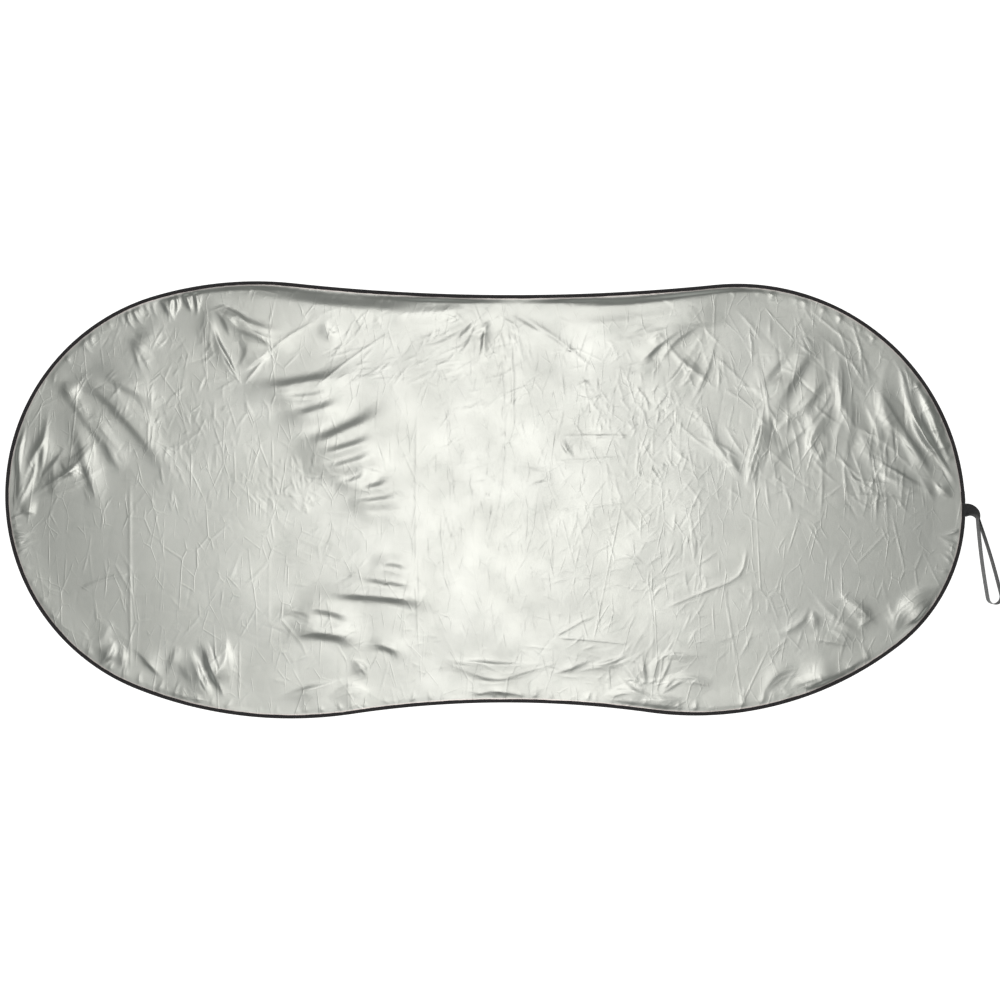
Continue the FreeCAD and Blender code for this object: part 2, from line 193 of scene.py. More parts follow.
def make_piece(name, points, faces, material, uv, normals=None):
    """A smooth mesh object from points in panel millimetres and quads."""
    mesh = bpy.data.meshes.new(name)
    moved = (points + np.array([SHIFT, 0, 0])) / 1000
    mesh.vertices.add(len(moved))
    mesh.vertices.foreach_set("co", moved.astype(np.float32).ravel())
    mesh.loops.add(faces.size)
    mesh.loops.foreach_set("vertex_index", faces.astype(np.int32).ravel())
    mesh.polygons.add(len(faces))
    mesh.polygons.foreach_set("loop_start", np.arange(0, faces.size, 4, dtype=np.int32))
    mesh.update(calc_edges=True)
    mesh.polygons.foreach_set("use_smooth", np.ones(len(faces), bool))
    for layer_name, values in uv.items():
        layer = mesh.uv_layers.new(name=layer_name)
        layer.data.foreach_set("uv", values[faces.ravel()].astype(np.float32).ravel())
    mesh.validate()
    if normals is not None:
        mesh.normals_split_custom_set_from_vertices(normals.astype(np.float32))
    piece = bpy.data.objects.new(name, mesh)
    bpy.context.scene.collection.objects.link(piece)
    mesh.materials.append(material)
    return piece


def vertex_normals(points, faces):
    """Area-weighted normals of a mesh of quads."""
    a, b, c, d = (points[faces[:, corner]] for corner in range(4))
    across = np.cross(c - a, d - b)
    total = np.zeros_like(points)
    for corner in range(4):
        for axis in range(3):
            total[:, axis] += np.bincount(faces[:, corner], across[:, axis], len(points))
    return total / np.maximum(np.linalg.norm(total, axis=1, keepdims=True), 1e-12)


def cut_and_blend(name, points, faces, material, kind, uv, far=(-BEYOND, BEYOND)):
    """Cuts a mesh at the middles of the waist's stretches into pieces that stand for the CAD
    pieces of that kind, and hides those.

    far is two x values: what lies beyond them is a piece of its own that rides on a lobe."""
    normals = vertex_normals(points, faces)
    middle = points[faces][:, :, 0].mean(axis=1)

    def piece_between(label, low, high):
        chosen = faces[(middle > low) & (middle <= high)]
        used, compact = np.unique(chosen, return_inverse=True)
        layers = {layer: values[used] for layer, values in uv.items()}
        quads = compact.reshape(chosen.shape)
        return make_piece(
            f"{name}_{label}", points[used], quads, material, layers, normals[used]
        )

    limits = [far[0], *CUTS, far[1]]
    pieces = []
    for k, (low, high) in enumerate(zip(limits, limits[1:])):
        piece = piece_between(k + 1, low, high)
        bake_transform(piece)
        pieces.append(piece)
    for place, piece in zip(PLACES, pieces + pieces[-1:]):
        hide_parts(f"{kind}_{place}")
    if far[1] < BEYOND:
        for place, low, high in (("left", -BEYOND, far[0]), ("right", far[1], BEYOND)):
            piece = piece_between(f"{place}_end", low, high)
            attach(piece, f"{place}_lobe")
            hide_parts(f"{kind}_{place}")
            pieces.append(piece)
    return pieces


# ---------------------------------------------------------------- folds in the cloth

SOFT_SIDE = 2.2  # a soft fold's gentle side, as a multiple of its half-width
SOFT_DRIFT = 0.25  # how much a soft fold wavers, as a share of a plain fold's wavering
SOFT_TAPER = 0.85  # the share of a soft fold's half length over which it rises
SOFT_ENDS = (0.15, 0.85)  # the shares between which its open ends close to the steep face
SOFT_CUT = 2.2  # widths of the gentle side beyond which a soft fold is too low to matter
GENTLE_SIDE = 2.6  # how much a full skew widens a fold's gentle side
STEEP_SIDE = 0.35  # how much it narrows the steep side
FOLD_CUT = 2.6  # half-widths beyond which a fold is too low to matter
FOLD_SPREAD = 1.2  # how much wider the placed folds are than they are listed


class Relief:
    """Heights over a set of points, built up fold by fold."""

    def __init__(self, x, y, random):
        self.x = x
        self.y = y
        self.z = np.zeros(x.shape)
        self.drift = 0.22 * self.ripples(120, random) + 0.07 * self.ripples(48, random)
        self.swell = 1 + 0.20 * self.ripples(90, random)

    def ripples(self, wavelength, random):
        """Smooth noise of about that wavelength, mostly within -1 to 1."""
        total = np.zeros(self.x.shape)
        for _ in range(7):
            angle = random.uniform(0, math.pi)
            length = wavelength * random.uniform(0.7, 1.4)
            across = self.x * math.cos(angle) + self.y * math.sin(angle)
            total += np.sin(2 * math.pi * across / length + random.uniform(0, 2 * math.pi))
        return total / 2.2

    def beside(self, path, reach):
        """The points near a path: which, how far to its left, and at what share of its length."""
        low, high = path.min(0) - reach, path.max(0) + reach
        across = (self.x > low[0]) & (self.x < high[0])
        here = np.flatnonzero(across & (self.y > low[1]) & (self.y < high[1]))
        return here, *along_path(path, self.x[here], self.y[here])

    def soft_fold(self, path, width, height, steep_side, beyond):
        """A round fold, steep on one side (1: left of the path) in the middle of its length.

        Its ends open out into the cloth, so that the steep face is a lens with two points; it
        runs on past the path's ends by the share of its length given as beyond."""
        path = np.array(path, float)
        length = np.hypot(*np.diff(path, axis=0).T).sum()
        for end, towards in ((0, 1), (-1, -2)):
            ray = path[end] - path[towards]
            path[end] += beyond * length * ray / np.hypot(*ray)
        here, offset, share = self.beside(smooth_path(path, 8), SOFT_CUT * width * SOFT_SIDE)
        offset = offset + SOFT_DRIFT * width * self.drift[here]
        inward = 1 - np.abs(2 * share - 1)
        opened = 1 - ease(np.interp(inward, SOFT_ENDS, (0, 1)))
        steep = 1 + (SOFT_SIDE - 1) * opened
        side = np.where((offset > 0) == (steep_side > 0), steep, SOFT_SIDE) * width
        taper = ease(np.clip(inward / SOFT_TAPER, 0, 1))
        self.z[here] += height * np.exp(-((offset / side) ** 2)) * taper

    def fold(self, path, width, height, skew=0.0, sharp=False, ends=(0.5, 0.5)):
        """A ridge (or a valley, if height is negative) along a smooth path, with thin ends.

        skew in -1..1 makes the side to the path's left gentle and its right steep; ends are
        the shares of the length over which the fold rises and falls."""
        gentle, steep = 1 + GENTLE_SIDE * abs(skew), 1 - STEEP_SIDE * abs(skew)
        path = smooth_path(path, 3 if sharp else 8)
        here, offset, share = self.beside(path, FOLD_CUT * width * gentle)
        taper = ease(np.clip(share / ends[0], 0, 1)) * ease(np.clip((1 - share) / ends[1], 0, 1))
        if not sharp:
            offset = offset + width * self.drift[here]
            height = height * self.swell[here]
        side = np.where((offset > 0) == (skew > 0), gentle, steep) * width
        ratio = np.abs(offset) / (side * (0.5 + 0.5 * taper))
        shape = np.exp(-1.6 * ratio) if sharp else np.exp(-(ratio**1.5))
        self.z[here] += height * shape * taper


def ease(t):
    return t * t * (3 - 2 * t)


def smooth_path(points, steps):
    """A Catmull-Rom curve through the points."""
    points = np.asarray(points, float)
    if len(points) == 2:
        return np.linspace(points[0], points[1], steps)
    padded = np.vstack([2 * points[0] - points[1], points, 2 * points[-1] - points[-2]])
    t = np.linspace(0, 1, steps, endpoint=False)[:, None]
    spans = []
    for a, b, c, d in zip(padded, padded[1:], padded[2:], padded[3:]):
        square = (2 * a - 5 * b + 4 * c - d) * t**2
        cube = (3 * b - a - 3 * c + d) * t**3
        spans.append(0.5 * (2 * b + (c - a) * t + square + cube))
    return np.vstack(spans + [points[-1:]])


def along_path(path, x, y):
    """Signed distance from a polyline (left is positive), and the share of its length."""
    lengths = np.hypot(*np.diff(path, axis=0).T)
    starts = np.concatenate([[0], np.cumsum(lengths)])
    best = np.full(x.shape, BEYOND)
    offset = np.zeros(x.shape)
    share = np.zeros(x.shape)
    for (ax, ay), (bx, by), length, start in zip(path, path[1:], lengths, starts):
        ux, uy = (bx - ax) / length, (by - ay) / length
        px, py = x - ax, y - ay
        t = np.clip(px * ux + py * uy, 0, length)
        qx, qy = px - t * ux, py - t * uy
        square = qx**2 + qy**2
        nearer = square < best
        best = np.where(nearer, square, best)
        side = np.sign(ux * py - uy * px)
        offset = np.where(nearer, side * np.sqrt(square), offset)
        share = np.where(nearer, (start + t) / starts[-1], share)
    return offset, share


# ---------------------------------------------------------------- where the folds lie

# Long soft folds that hang under the top rim between two gathers: from x, to x, how far
# inside the rim they start and end, how much they hang, half-width and height.
SWAGS = [
    (-455, 34, 20, 12, 16, 17, 5.2),
    (-180, 8, 38, 16, 4, 7, 1.0),
    (70, 410, 15, 9, 9, 9.0, 4.6),
    (60, 410, 50, 28, 7, 13, 3.8),
    (150, 330, 88, 52, 2, 10, 1.8),
]

# Soft folds that fan out from a gather in the rim: where, first and last heading in
# degrees, how many, where they start and end, half-width and height.
FANS = [
    (378, 312, 196, 252, 7, 70, 215, 6.0, 1.4),
    (9, 296, 200, 340, 9, 18, 120, 5.0, 1.0),
    (-420, 308, 272, 330, 5, 20, 120, 5.0, 0.9),
    (-540, 255, 285, 330, 4, 15, 80, 6.0, 1.0),
    (712, -10, 112, 178, 8, 30, 230, 6.0, 1.1),
    (-712, -20, 20, 78, 6, 25, 190, 6.5, 1.5),
    (560, 215, 215, 290, 6, 40, 190, 8.0, 1.3),
    (-430, -310, 60, 125, 5, 20, 110, 6.0, 0.8),
    (600, -228, 120, 175, 5, 20, 150, 7.0, 1.0),
    (250, -305, 20, 150, 8, 16, 90, 4.5, 0.9),
]

# Folds placed one by one: points, half-width, height and skew.
LEFT_LOBE_FOLDS = [
    # long diagonals of the upper left
    ([(-615, 190), (-560, 150), (-490, 100)], 12, 0.9, 0.5),
    ([(-575, 185), (-535, 160), (-500, 138)], 11, 0.6, 0.5),
    ([(-600, 155), (-575, 110), (-537, 63)], 8, 0.8, 0.5),
    ([(-545, 160), (-520, 130), (-490, 100)], 9, 0.7, 0.5),
    ([(-617, 100), (-605, 55), (-581, 0)], 6, 1.4, 0.7),
    ([(-573, 98), (-563, 65), (-548, 38)], 8, 1.4, 0.5),
    ([(-642, 68), (-630, 50), (-605, 35)], 11, 1.6, 0.5),
    ([(-640, 180), (-625, 160), (-608, 150)], 9, 1.3, 0.5),
    # ridges along the left end
    ([(-692, 117), (-703, 60), (-706, -15)], 4, 2.6, 0.5),
    ([(-675, 80), (-682, 40), (-698, 5), (-704, -18)], 4, 2.2, -0.5),
    ([(-662, 138), (-660, 100), (-668, 60), (-678, 20)], 6, 1.8, 0.2),
    ([(-648, 65), (-652, 30), (-650, -5)], 9, 1.4, 0.2),
    ([(-702, -22), (-690, -18), (-676, -22)], 5, 1.6, 0.7),
    # creases that cross under the top rim
    ([(-423, 280), (-394, 225), (-364, 170)], 3.5, 2.0, -0.9),
    ([(-424, 292), (-423, 260), (-418, 230)], 9, 1.6, 0.2),
    ([(-382, 256), (-350, 250), (-317, 230)], 6, 1.3, 0.5),
    ([(-317, 232), (-338, 215), (-364, 193)], 5, 1.3, -0.7),
    ([(-374, 252), (-360, 225), (-368, 195)], 7, 1.2, 0.5),
    ([(-535, 262), (-510, 245), (-480, 228)], 9, 1.6, 0.5),
    ([(-545, 245), (-520, 230), (-495, 212)], 7, 1.0, 0.2),
    # creases at the foot of the bow
    ([(-202, -236), (-184, -250), (-174, -272)], 4.5, 1.8, -0.6),
    ([(-318, -306), (-275, -292), (-235, -280), (-206, -270)], 6.5, 1.7, -0.6),
    ([(-238, -300), (-204, -284), (-170, -290)], 6.5, 1.6, -0.6),
    # folds that run inward from the bottom rim
    ([(-594, -222), (-575, -205), (-563, -178)], 7, 0.9, 0.2),
    ([(-574, -250), (-566, -230), (-560, -210)], 6, 1.8, 0.5),
    ([(-550, -258), (-546, -238), (-546, -218)], 5, 1.4, 0.2),
    ([(-533, -222), (-510, -243), (-485, -272)], 5, 1.8, 0.7),
    ([(-465, -216), (-470, -240), (-480, -265)], 5, 1.2, 0.5),
    ([(-448, -218), (-434, -260), (-414, -304)], 9, 3.2, -0.7),
    ([(-428, -206), (-412, -250), (-397, -304)], 8, 3.4, 0.7),
    ([(-390, -200), (-386, -250), (-384, -290)], 6, 1.6, -0.7),
]
WAIST_FOLDS = [
    ([(-114, 230), (-60, 245), (-20, 270), (9, 288)], 7, 1.6, 0.7),
    ([(-22, 250), (-5, 258), (12, 270)], 5, 1.2, 0.7),
    ([(-60, 182), (-28, 220), (5, 250)], 14, 1.4, 0.5),
    ([(50, 283), (113, 240), (178, 186)], 3, 0.8, 0.2),
    # a small crumpled knot
    ([(48, 50), (72, 44), (90, 42), (106, 56)], 5, 0.8, -0.5),
    ([(55, 28), (66, 20), (84, 30), (112, 26)], 4, 0.7, 0.5),
    ([(114, 100), (120, 80), (138, 58)], 2, 0.7, 0.4),
    # a long flat triangle near the bottom rim
    ([(-69, -238), (-20, -246), (32, -250), (96, -249)], 5, 1.6, -0.7),
    ([(-66, -240), (-20, -262), (24, -271), (60, -262), (96, -251)], 5, 1.3, 0.7),
    ([(-30, -294), (15, -290), (68, -298)], 5, 1.8, 0.7),
    ([(-20, -276), (20, -279), (60, -274)], 5, 0.7, 0.2),
]
RIGHT_LOBE_FOLDS = [
    # creases that cross under the top rim
    ([(224, 198), (245, 210), (268, 242)], 8, 1.1, 0.5),
    ([(212, 180), (240, 190), (268, 210)], 8, 1.0, 0.5),
    ([(285, 270), (330, 268), (380, 265)], 6, 1.0, 0.5),
    ([(252, 266), (295, 213), (357, 161)], 4, 0.8, 0.2),
    ([(300, 152), (334, 112), (366, 64)], 5, 0.9, 0.2),
    ([(304, 99), (352, 81), (391, 20)], 4, 0.9, 0.2),
    # the sharp crease in the middle of the lobe and its neighbours
    ([(420, 143), (414, 85), (393, 11)], 5, 2.2, 0.7),
    ([(366, 84), (378, 55), (390, 30)], 4, 1.0, 0.2),
    ([(456, 198), (440, 170), (416, 150)], 6, 0.9, 0.2),
    ([(400, 180), (412, 168), (428, 152)], 5, 0.8, 0.5),
    ([(446, 99), (468, 135), (507, 186)], 12, 0.7, 0.2),
    ([(478, 140), (492, 115), (494, 63)], 6, 1.4, 0.5),
    ([(423, 29), (441, 63), (471, 90)], 9, 1.1, 0.2),
    ([(537, 240), (538, 170), (528, 100)], 7, 1.4, 0.2),
    ([(498, 46), (516, 86), (507, 108)], 8, 1.0, 0.2),
    ([(523, 152), (550, 117), (560, 77)], 9, 1.2, 0.2),
    ([(555, 117), (580, 81), (598, 47)], 9, 1.4, 0.2),
    ([(573, 64), (607, 38), (655, 20), (687, -3)], 6, 1.0, 0.2),
    # ridges along the right end
    ([(604, 220), (612, 120), (617, 60), (616, 2)], 13, 2.2, 0.2),
    ([(626, 209), (650, 122), (700, 44), (714, 11)], 5, 3.4, 0.2),
    ([(648, 183), (678, 117), (706, 51)], 4.5, 2.6, 0.2),
    ([(660, 184), (684, 142), (700, 99)], 6, 2.2, 0.2),
    ([(625, 106), (652, 62), (682, 15)], 8, 1.8, 0.2),
    ([(676, 32), (692, 12), (710, 0)], 4, 2.2, 0.5),
    ([(655, 40), (672, 12), (682, -5)], 5, 1.0, 0.2),
    # folds of the lower right
    ([(620, -205), (628, -172), (655, -145), (692, -130)], 9, 2.3, -0.5),
    ([(632, -195), (655, -176), (680, -152)], 6, 2.2, 0.5),
    ([(612, -152), (620, -178), (621, -202)], 7, 1.1, 0.2),
    ([(514, -154), (546, -152), (580, -178), (600, -198)], 6, 1.0, 0.2),
    ([(493, -164), (503, -198)], 4, 1.0, 0.2),
    ([(436, -208), (476, -185), (498, -160)], 5, 1.0, 0.2),
    ([(549, -150), (577, -174), (564, -203)], 5, 0.9, 0.2),
    ([(450, -290), (498, -272), (550, -250), (591, -232)], 12, 2.2, 0.7),
    ([(417, -298), (445, -267), (483, -258)], 7, 1.3, 0.2),
    ([(480, -292), (532, -270), (568, -250)], 8, 2.4, 0.5),
    ([(257, -238), (298, -236), (339, -233)], 5, 1.2, -0.7),
    ([(269, -272), (311, -270), (353, -276)], 5, 1.3, -0.7),
    ([(150, -252), (190, -246), (220, -232)], 4, 1.2, -0.5),
    ([(177, -296), (220, -290), (264, -302)], 6, 2.0, -0.7),
    ([(234, -300), (265, -303), (305, -298)], 6, 2.0, -0.7),
    ([(100, -265), (130, -255), (168, -240)], 4, 1.0, 0.2),
]

# Soft folds that open out at both ends: points, half-width, height and the steep side.
SOFT_FOLDS = [
    # long diagonals of the upper left
    ([(-605, 184), (-540, 122), (-488, 62)], 8.0, 2.0, -1),
    ([(-573, 192), (-540, 172), (-503, 152)], 8.0, 1.7, -1),
    ([(-641, 182), (-598, 118), (-550, 62)], 7.0, 1.2, -1),
    ([(-618, 116), (-598, 54), (-586, 5)], 7.0, 1.2, -1),
    # short folds in a bow between the left lobe and the waist
    ([(-337, 163), (-275, 174), (-215, 184)], 9.5, 3.2, 1),
    ([(-305, 152), (-270, 153), (-233, 158)], 6.5, 2.0, 1),
    ([(-290, 124), (-255, 132), (-217, 142)], 9.0, 3.5, 1),
    ([(-264, 77), (-212, 100), (-157, 124)], 10.5, 3.7, 1),
    ([(-250, 62), (-210, 75), (-163, 88)], 8.5, 3.9, 1),
    ([(-244, 40), (-205, 52), (-160, 66)], 8.5, 3.7, 1),
    ([(-216, 22), (-196, 27), (-176, 36)], 6.5, 2.2, 1),
    ([(-190, 11), (-166, 17), (-142, 24)], 6.5, 2.1, 1),
    ([(-197, -8), (-164, -4), (-130, 1)], 7.0, 2.6, 1),
    ([(-180, -28), (-155, -25), (-128, -26)], 5.5, 0.9, 1),
    ([(-159, -94), (-138, -95), (-114, -99)], 6.0, 1.7, -1),
    ([(-192, -114), (-150, -120), (-103, -129)], 7.5, 2.6, -1),
    ([(-232, -139), (-170, -144), (-98, -151)], 7.5, 3.0, -1),
    ([(-268, -163), (-235, -168), (-202, -176)], 7.5, 2.3, -1),
    ([(-304, -168), (-282, -168), (-258, -178)], 6.0, 1.1, -1),
    ([(-280, -196), (-240, -201), (-200, -206)], 8.5, 3.1, -1),
    ([(-166, -214), (-148, -221), (-126, -230)], 6.5, 2.0, -1),
    # beside the gathers in the top rim
    ([(-419, 290), (-369, 270), (-305, 247)], 8.0, 2.4, 1),
    ([(-369, 256), (-340, 246), (-308, 234)], 6.5, 1.4, 1),
    ([(-243, 260), (-224, 244)], 5.0, 1.1, 1),
    # broad diagonals of the upper right
    ([(457, 228), (436, 200), (416, 173)], 9.0, 1.8, 1),
    ([(493, 232), (466, 186), (438, 141)], 10.0, 2.4, 1),
    ([(512, 186), (496, 160), (479, 137)], 8.0, 1.6, 1),
]

# Straight creases left by packing the panel: points, half-width and height.
PACKING_CREASES = [
    ([(-535, 37), (-535, -115), (-534, -270)], 3, 0.4),
    ([(-101, 150), (-103, -40), (-99, -227)], 3, 0.4),
    ([(40, 270), (43, 170), (44, 99)], 3, 0.5),
    ([(22, 270), (30, 100), (22, 0), (6, -73), (-12, -143)], 3, 0.4),
    ([(114, 95), (170, 96), (222, 95)], 2.5, 0.5),
    ([(108, 57), (160, 60), (212, 64)], 2.5, 0.5),
    ([(108, -16), (165, -10), (222, -3)], 2.5, 0.5),
    ([(108, -206), (133, -192), (160, -176)], 2.5, 0.6),
    ([(108, -208), (161, -212), (218, -218)], 2.5, 0.6),
    ([(-130, 260), (-205, 210), (-265, 160)], 3, 0.5),
    ([(-365, 172), (-310, 235), (-250, 272)], 4, 0.6),
    ([(-610, -135), (-570, -120), (-535, -112)], 4, 0.7),
    ([(270, -165), (330, -140), (385, -115), (398, -70)], 4, 0.6),
]

# Many small creases at random: x and y ranges, how many, heading and spread in degrees,
# and the most that length, half-width and height come to.
CREASE_ZONES = [
    (-700, 700, -300, 300, 700, 90, 180, 70, 1.8, 0.24),
    (-80, 340, -80, 250, 330, 60, 120, 80, 2.0, 0.42),
    (140, 260, 95, 185, 110, 70, 120, 42, 1.8, 0.55),
    (230, 300, 5, 155, 70, 100, 100, 46, 1.8, 0.5),
    (-330, -60, -260, 60, 130, 15, 90, 60, 2.2, 0.36),
    (-500, -320, -40, 150, 150, 95, 60, 60, 1.8, 0.32),
    (-345, -255, -20, 60, 50, 120, 60, 45, 1.8, 0.45),
    (60, 340, -300, -60, 130, 20, 100, 70, 2.2, 0.42),
    (300, 660, -30, 260, 150, 115, 70, 130, 2.6, 0.55),
    (300, 640, -230, 60, 80, 60, 90, 80, 2.6, 0.40),
    (-60, 60, -240, 270, 90, 90, 50, 110, 2.0, 0.35),
    (-240, 20, 180, 285, 90, 35, 60, 80, 2.2, 0.45),
    (-660, -380, 60, 250, 80, 60, 90, 60, 2.6, 0.40),
]

# Small pleats that run inward from the rim: where they start, as x on the top or bottom
# edge or y on the left or right end, how many, and length, half-width and height.
GATHERS = [
    ("top", -545, -425, 13, 34, 4.5, 1.9),
    ("top", -640, -545, 5, 26, 5.0, 0.8),
    ("top", -400, 380, 34, 14, 3.0, 0.5),
    ("top", 400, 600, 8, 26, 5.0, 0.9),
    ("left", -90, -24, 7, 30, 2.6, 1.0),
    ("left", -200, -95, 4, 22, 4.0, 0.5),
    ("right", -115, -40, 7, 32, 2.6, 0.9),
    ("right", 60, 190, 7, 28, 5.0, 1.2),
    ("bottom", -610, -380, 12, 24, 4.5, 0.7),
    ("bottom", -350, 350, 30, 16, 3.5, 0.6),
    ("bottom", 380, 600, 9, 26, 5.0, 0.9),
]


def rim_places(edge, low, high, count, random):
    """Distances along the outline of pleats between two places on one edge."""
    distance = np.arange(0, PERIMETER, 1.0)
    points, normals = on_outline(distance)
    coordinate, facing = {
        "top": (0, normals[:, 1]),
        "bottom": (0, -normals[:, 1]),
        "left": (1, -normals[:, 0]),
        "right": (1, normals[:, 0]),
    }[edge]
    there = (points[:, coordinate] > low) & (points[:, coordinate] < high) & (facing > 0.25)
    shares = (np.arange(count) + random.uniform(0.15, 0.85, count)) / count
    return np.interp(shares, np.linspace(0, 1, there.sum()), distance[there])


def add_gathers(relief, random):
    for edge, low, high, count, length, width, height in GATHERS:
        for distance in rim_places(edge, low, high, count, random):
            point, normal = (rows[0] for rows in on_outline([distance]))
            inward = -normal + random.uniform(-0.45, 0.45) * left_of(normal)
            reach = length * random.uniform(0.5, 1.3)
            start = point - normal * (RIM_WIDTH + 1.5)
            bend = random.uniform(-0.12, 0.12) * reach * left_of(inward)
            path = [start, start + inward * reach * 0.5 + bend, start + inward * reach]
            scale = random.uniform(0.35, 1.0)
            relief.fold(path, width * random.uniform(0.7, 1.1), height * scale, ends=(0.1, 0.8))


def add_placed_folds(relief, random):
    """The folds placed one by one, each with four thinner creases beside it."""
    for path, width, height, skew in LEFT_LOBE_FOLDS + WAIST_FOLDS + RIGHT_LOBE_FOLDS:
        relief.fold(path, width * FOLD_SPREAD, height, skew)
        path = np.array(path, float)
        ray = path[-1] - path[0]
        side = left_of(ray) / np.hypot(*ray)
        share = np.linspace(0, 1, len(path))
        for _ in range(4):
            aside = random.uniform(-1.3, 1.3) * width
            first, last = sorted(random.uniform(0, 1, 2))
            spots = np.linspace(first, max(last, first + 0.3), 3)
            line = np.stack([np.interp(spots, share, path[:, k]) for k in (0, 1)], axis=1)
            line += side * aside + random.uniform(-1.5, 1.5, (3, 2))
            rise = height * random.uniform(0.08, 0.22) * random.choice([1.0, -1.0])
            relief.fold(line, random.uniform(1.5, 2.8), rise, sharp=True)


def add_swags(relief):
    points, normals = on_outline(np.arange(0, PERIMETER, 2.0))
    top = points[normals[:, 1] > 0.2]
    top = top[np.argsort(top[:, 0])]
    share = np.linspace(0, 1, 9)
    for low, high, start, end, hang, width, height in SWAGS:
        x = low + (high - low) * share
        rim = np.interp(x, top[:, 0], top[:, 1])
        inset = start + (end - start) * share + hang * 4 * share * (1 - share)
        path = np.stack([x, rim - inset], axis=1)
        relief.soft_fold(path, width, height, steep_side=1, beyond=0.12)


def add_fans(relief, random):
    for x, y, first, last, count, near, far, width, height in FANS:
        for share in (np.arange(count) + random.uniform(0.2, 0.8, count)) / count:
            ray = ray_at(math.radians(first + (last - first) * share))
            start = near * random.uniform(0.8, 2.0)
            end = near + (far - near) * random.uniform(0.5, 1.0)
            bow = random.uniform(-0.08, 0.08) * (end - start) * left_of(ray)
            path = np.array([x, y]) + [ray * start, ray * (start + end) / 2 + bow, ray * end]
            scale = random.uniform(0.45, 1.0)
            relief.fold(path, width * scale, height * scale, random.choice([-0.5, 0.5]))


def in_calm_band(x, y):
    """The middle of each lobe is smoother than the rest."""
    return abs(x - 20) > 330 and -140 < y < -15


def add_small_creases(relief, random):
    for left, right, low, high, count, heading, spread, length, width, height in CREASE_ZONES:
        for _ in range(count):
            middle = np.array([random.uniform(left, right), random.uniform(low, high)])
            if in_calm_band(*middle) and random.uniform() < 0.9:
                continue
            angle = math.radians(heading + random.uniform(-0.5, 0.5) * spread)
            ray = ray_at(angle) * length * random.uniform(0.12, 0.5)
            bow = left_of(ray) * random.uniform(-0.12, 0.12)
            path = [middle - ray, middle + bow, middle + ray]
            crease = width * random.uniform(0.6, 1.0)
            rise = height * random.uniform(0.25, 1.0) * random.choice([1.0, 1.0, -0.7])
            relief.fold(path, crease, rise, random.uniform(-0.5, 0.5), sharp=True)


def add_crumple(relief, spacing, depth, softness, random):
    """Flat facets between sharp valleys, as a sheet keeps after it has been crumpled."""
    low = np.array([relief.x.min(), relief.y.min()]) - spacing
    high = np.array([relief.x.max(), relief.y.max()]) + spacing
    across, up = (int(n) for n in np.ceil((high - low) / spacing))
    seeds = random.uniform(0, 1, (across, up, 2)) + np.stack(
        np.meshgrid(np.arange(across), np.arange(up), indexing="ij"), axis=2
    )
    seeds = low + seeds * spacing
    column = np.clip(((relief.x - low[0]) / spacing).astype(int), 0, across - 1)
    row = np.clip(((relief.y - low[1]) / spacing).astype(int), 0, up - 1)
    nearest = np.full(relief.x.shape, BEYOND)
    second = nearest.copy()
    for shift_x, shift_y in itertools.product(range(-2, 3), repeat=2):
        i, j = column + shift_x, row + shift_y
        inside = (i >= 0) & (i < across) & (j >= 0) & (j < up)
        seed = seeds[np.clip(i, 0, across - 1), np.clip(j, 0, up - 1)]
        away = np.hypot(relief.x - seed[..., 0], relief.y - seed[..., 1])
        away = np.where(inside, away, BEYOND)
        second = np.minimum(second, np.maximum(nearest, away))
        nearest = np.minimum(nearest, away)
    relief.z -= depth * np.exp(-(second - nearest) / softness)


def add_undulation(relief, random):
    """Low broad waves all over the slack cloth."""
    for _ in range(14):
        angle = random.uniform(0, math.pi)
        length = random.uniform(70, 210)
        phase = random.uniform(0, 2 * math.pi)
        across = relief.x * math.cos(angle) + relief.y * math.sin(angle)
        relief.z += length * 0.0005 * np.sin(2 * math.pi * across / length + phase)


CLOTH_SLACK = 0.9
SLACK_REACH = 45.0  # how far inside the rim the cloth hangs by all of its slack
FOLD_REACH = 9.0  # how far inside the rim the folds reach their full height


def cloth_heights(x, y, depth):
    """How high the reflective cloth's surface lies over every point, in mm."""
    random = np.random.default_rng(RANDOM_SEED)
    relief = Relief(x, y, random)
    add_undulation(relief, random)
    add_crumple(relief, 74.0, 0.06, 6.0, random)
    add_crumple(relief, 31.0, 0.05, 4.0, random)
    add_small_creases(relief, random)
    for path, width, height in PACKING_CREASES:
        relief.fold(path, width, height, sharp=True, ends=(0.15, 0.15))
    for path, width, height, steep_side in SOFT_FOLDS:
        relief.soft_fold(path, width, height, steep_side, beyond=0.38)
    add_placed_folds(relief, random)
    add_swags(relief)
    add_fans(relief, random)
    add_gathers(relief, random)
    inside = depth - RIM_WIDTH
    past_rim = ease(np.clip((inside + 0.4) / FOLD_REACH, 0, 1))
    slack = CLOTH_SLACK * ease(np.clip(inside / SLACK_REACH, 0, 1))
    floor = LOWEST_CLOTH - CLOTH_LEVEL
    soft = 0.35
    raised = relief.z * past_rim - slack
    raised = floor + soft * np.logaddexp(0, (raised - floor) / soft)
    return CLOTH_LEVEL + np.where(inside < 0, np.minimum(raised, 0), raised)


# ---------------------------------------------------------------- the two cloths

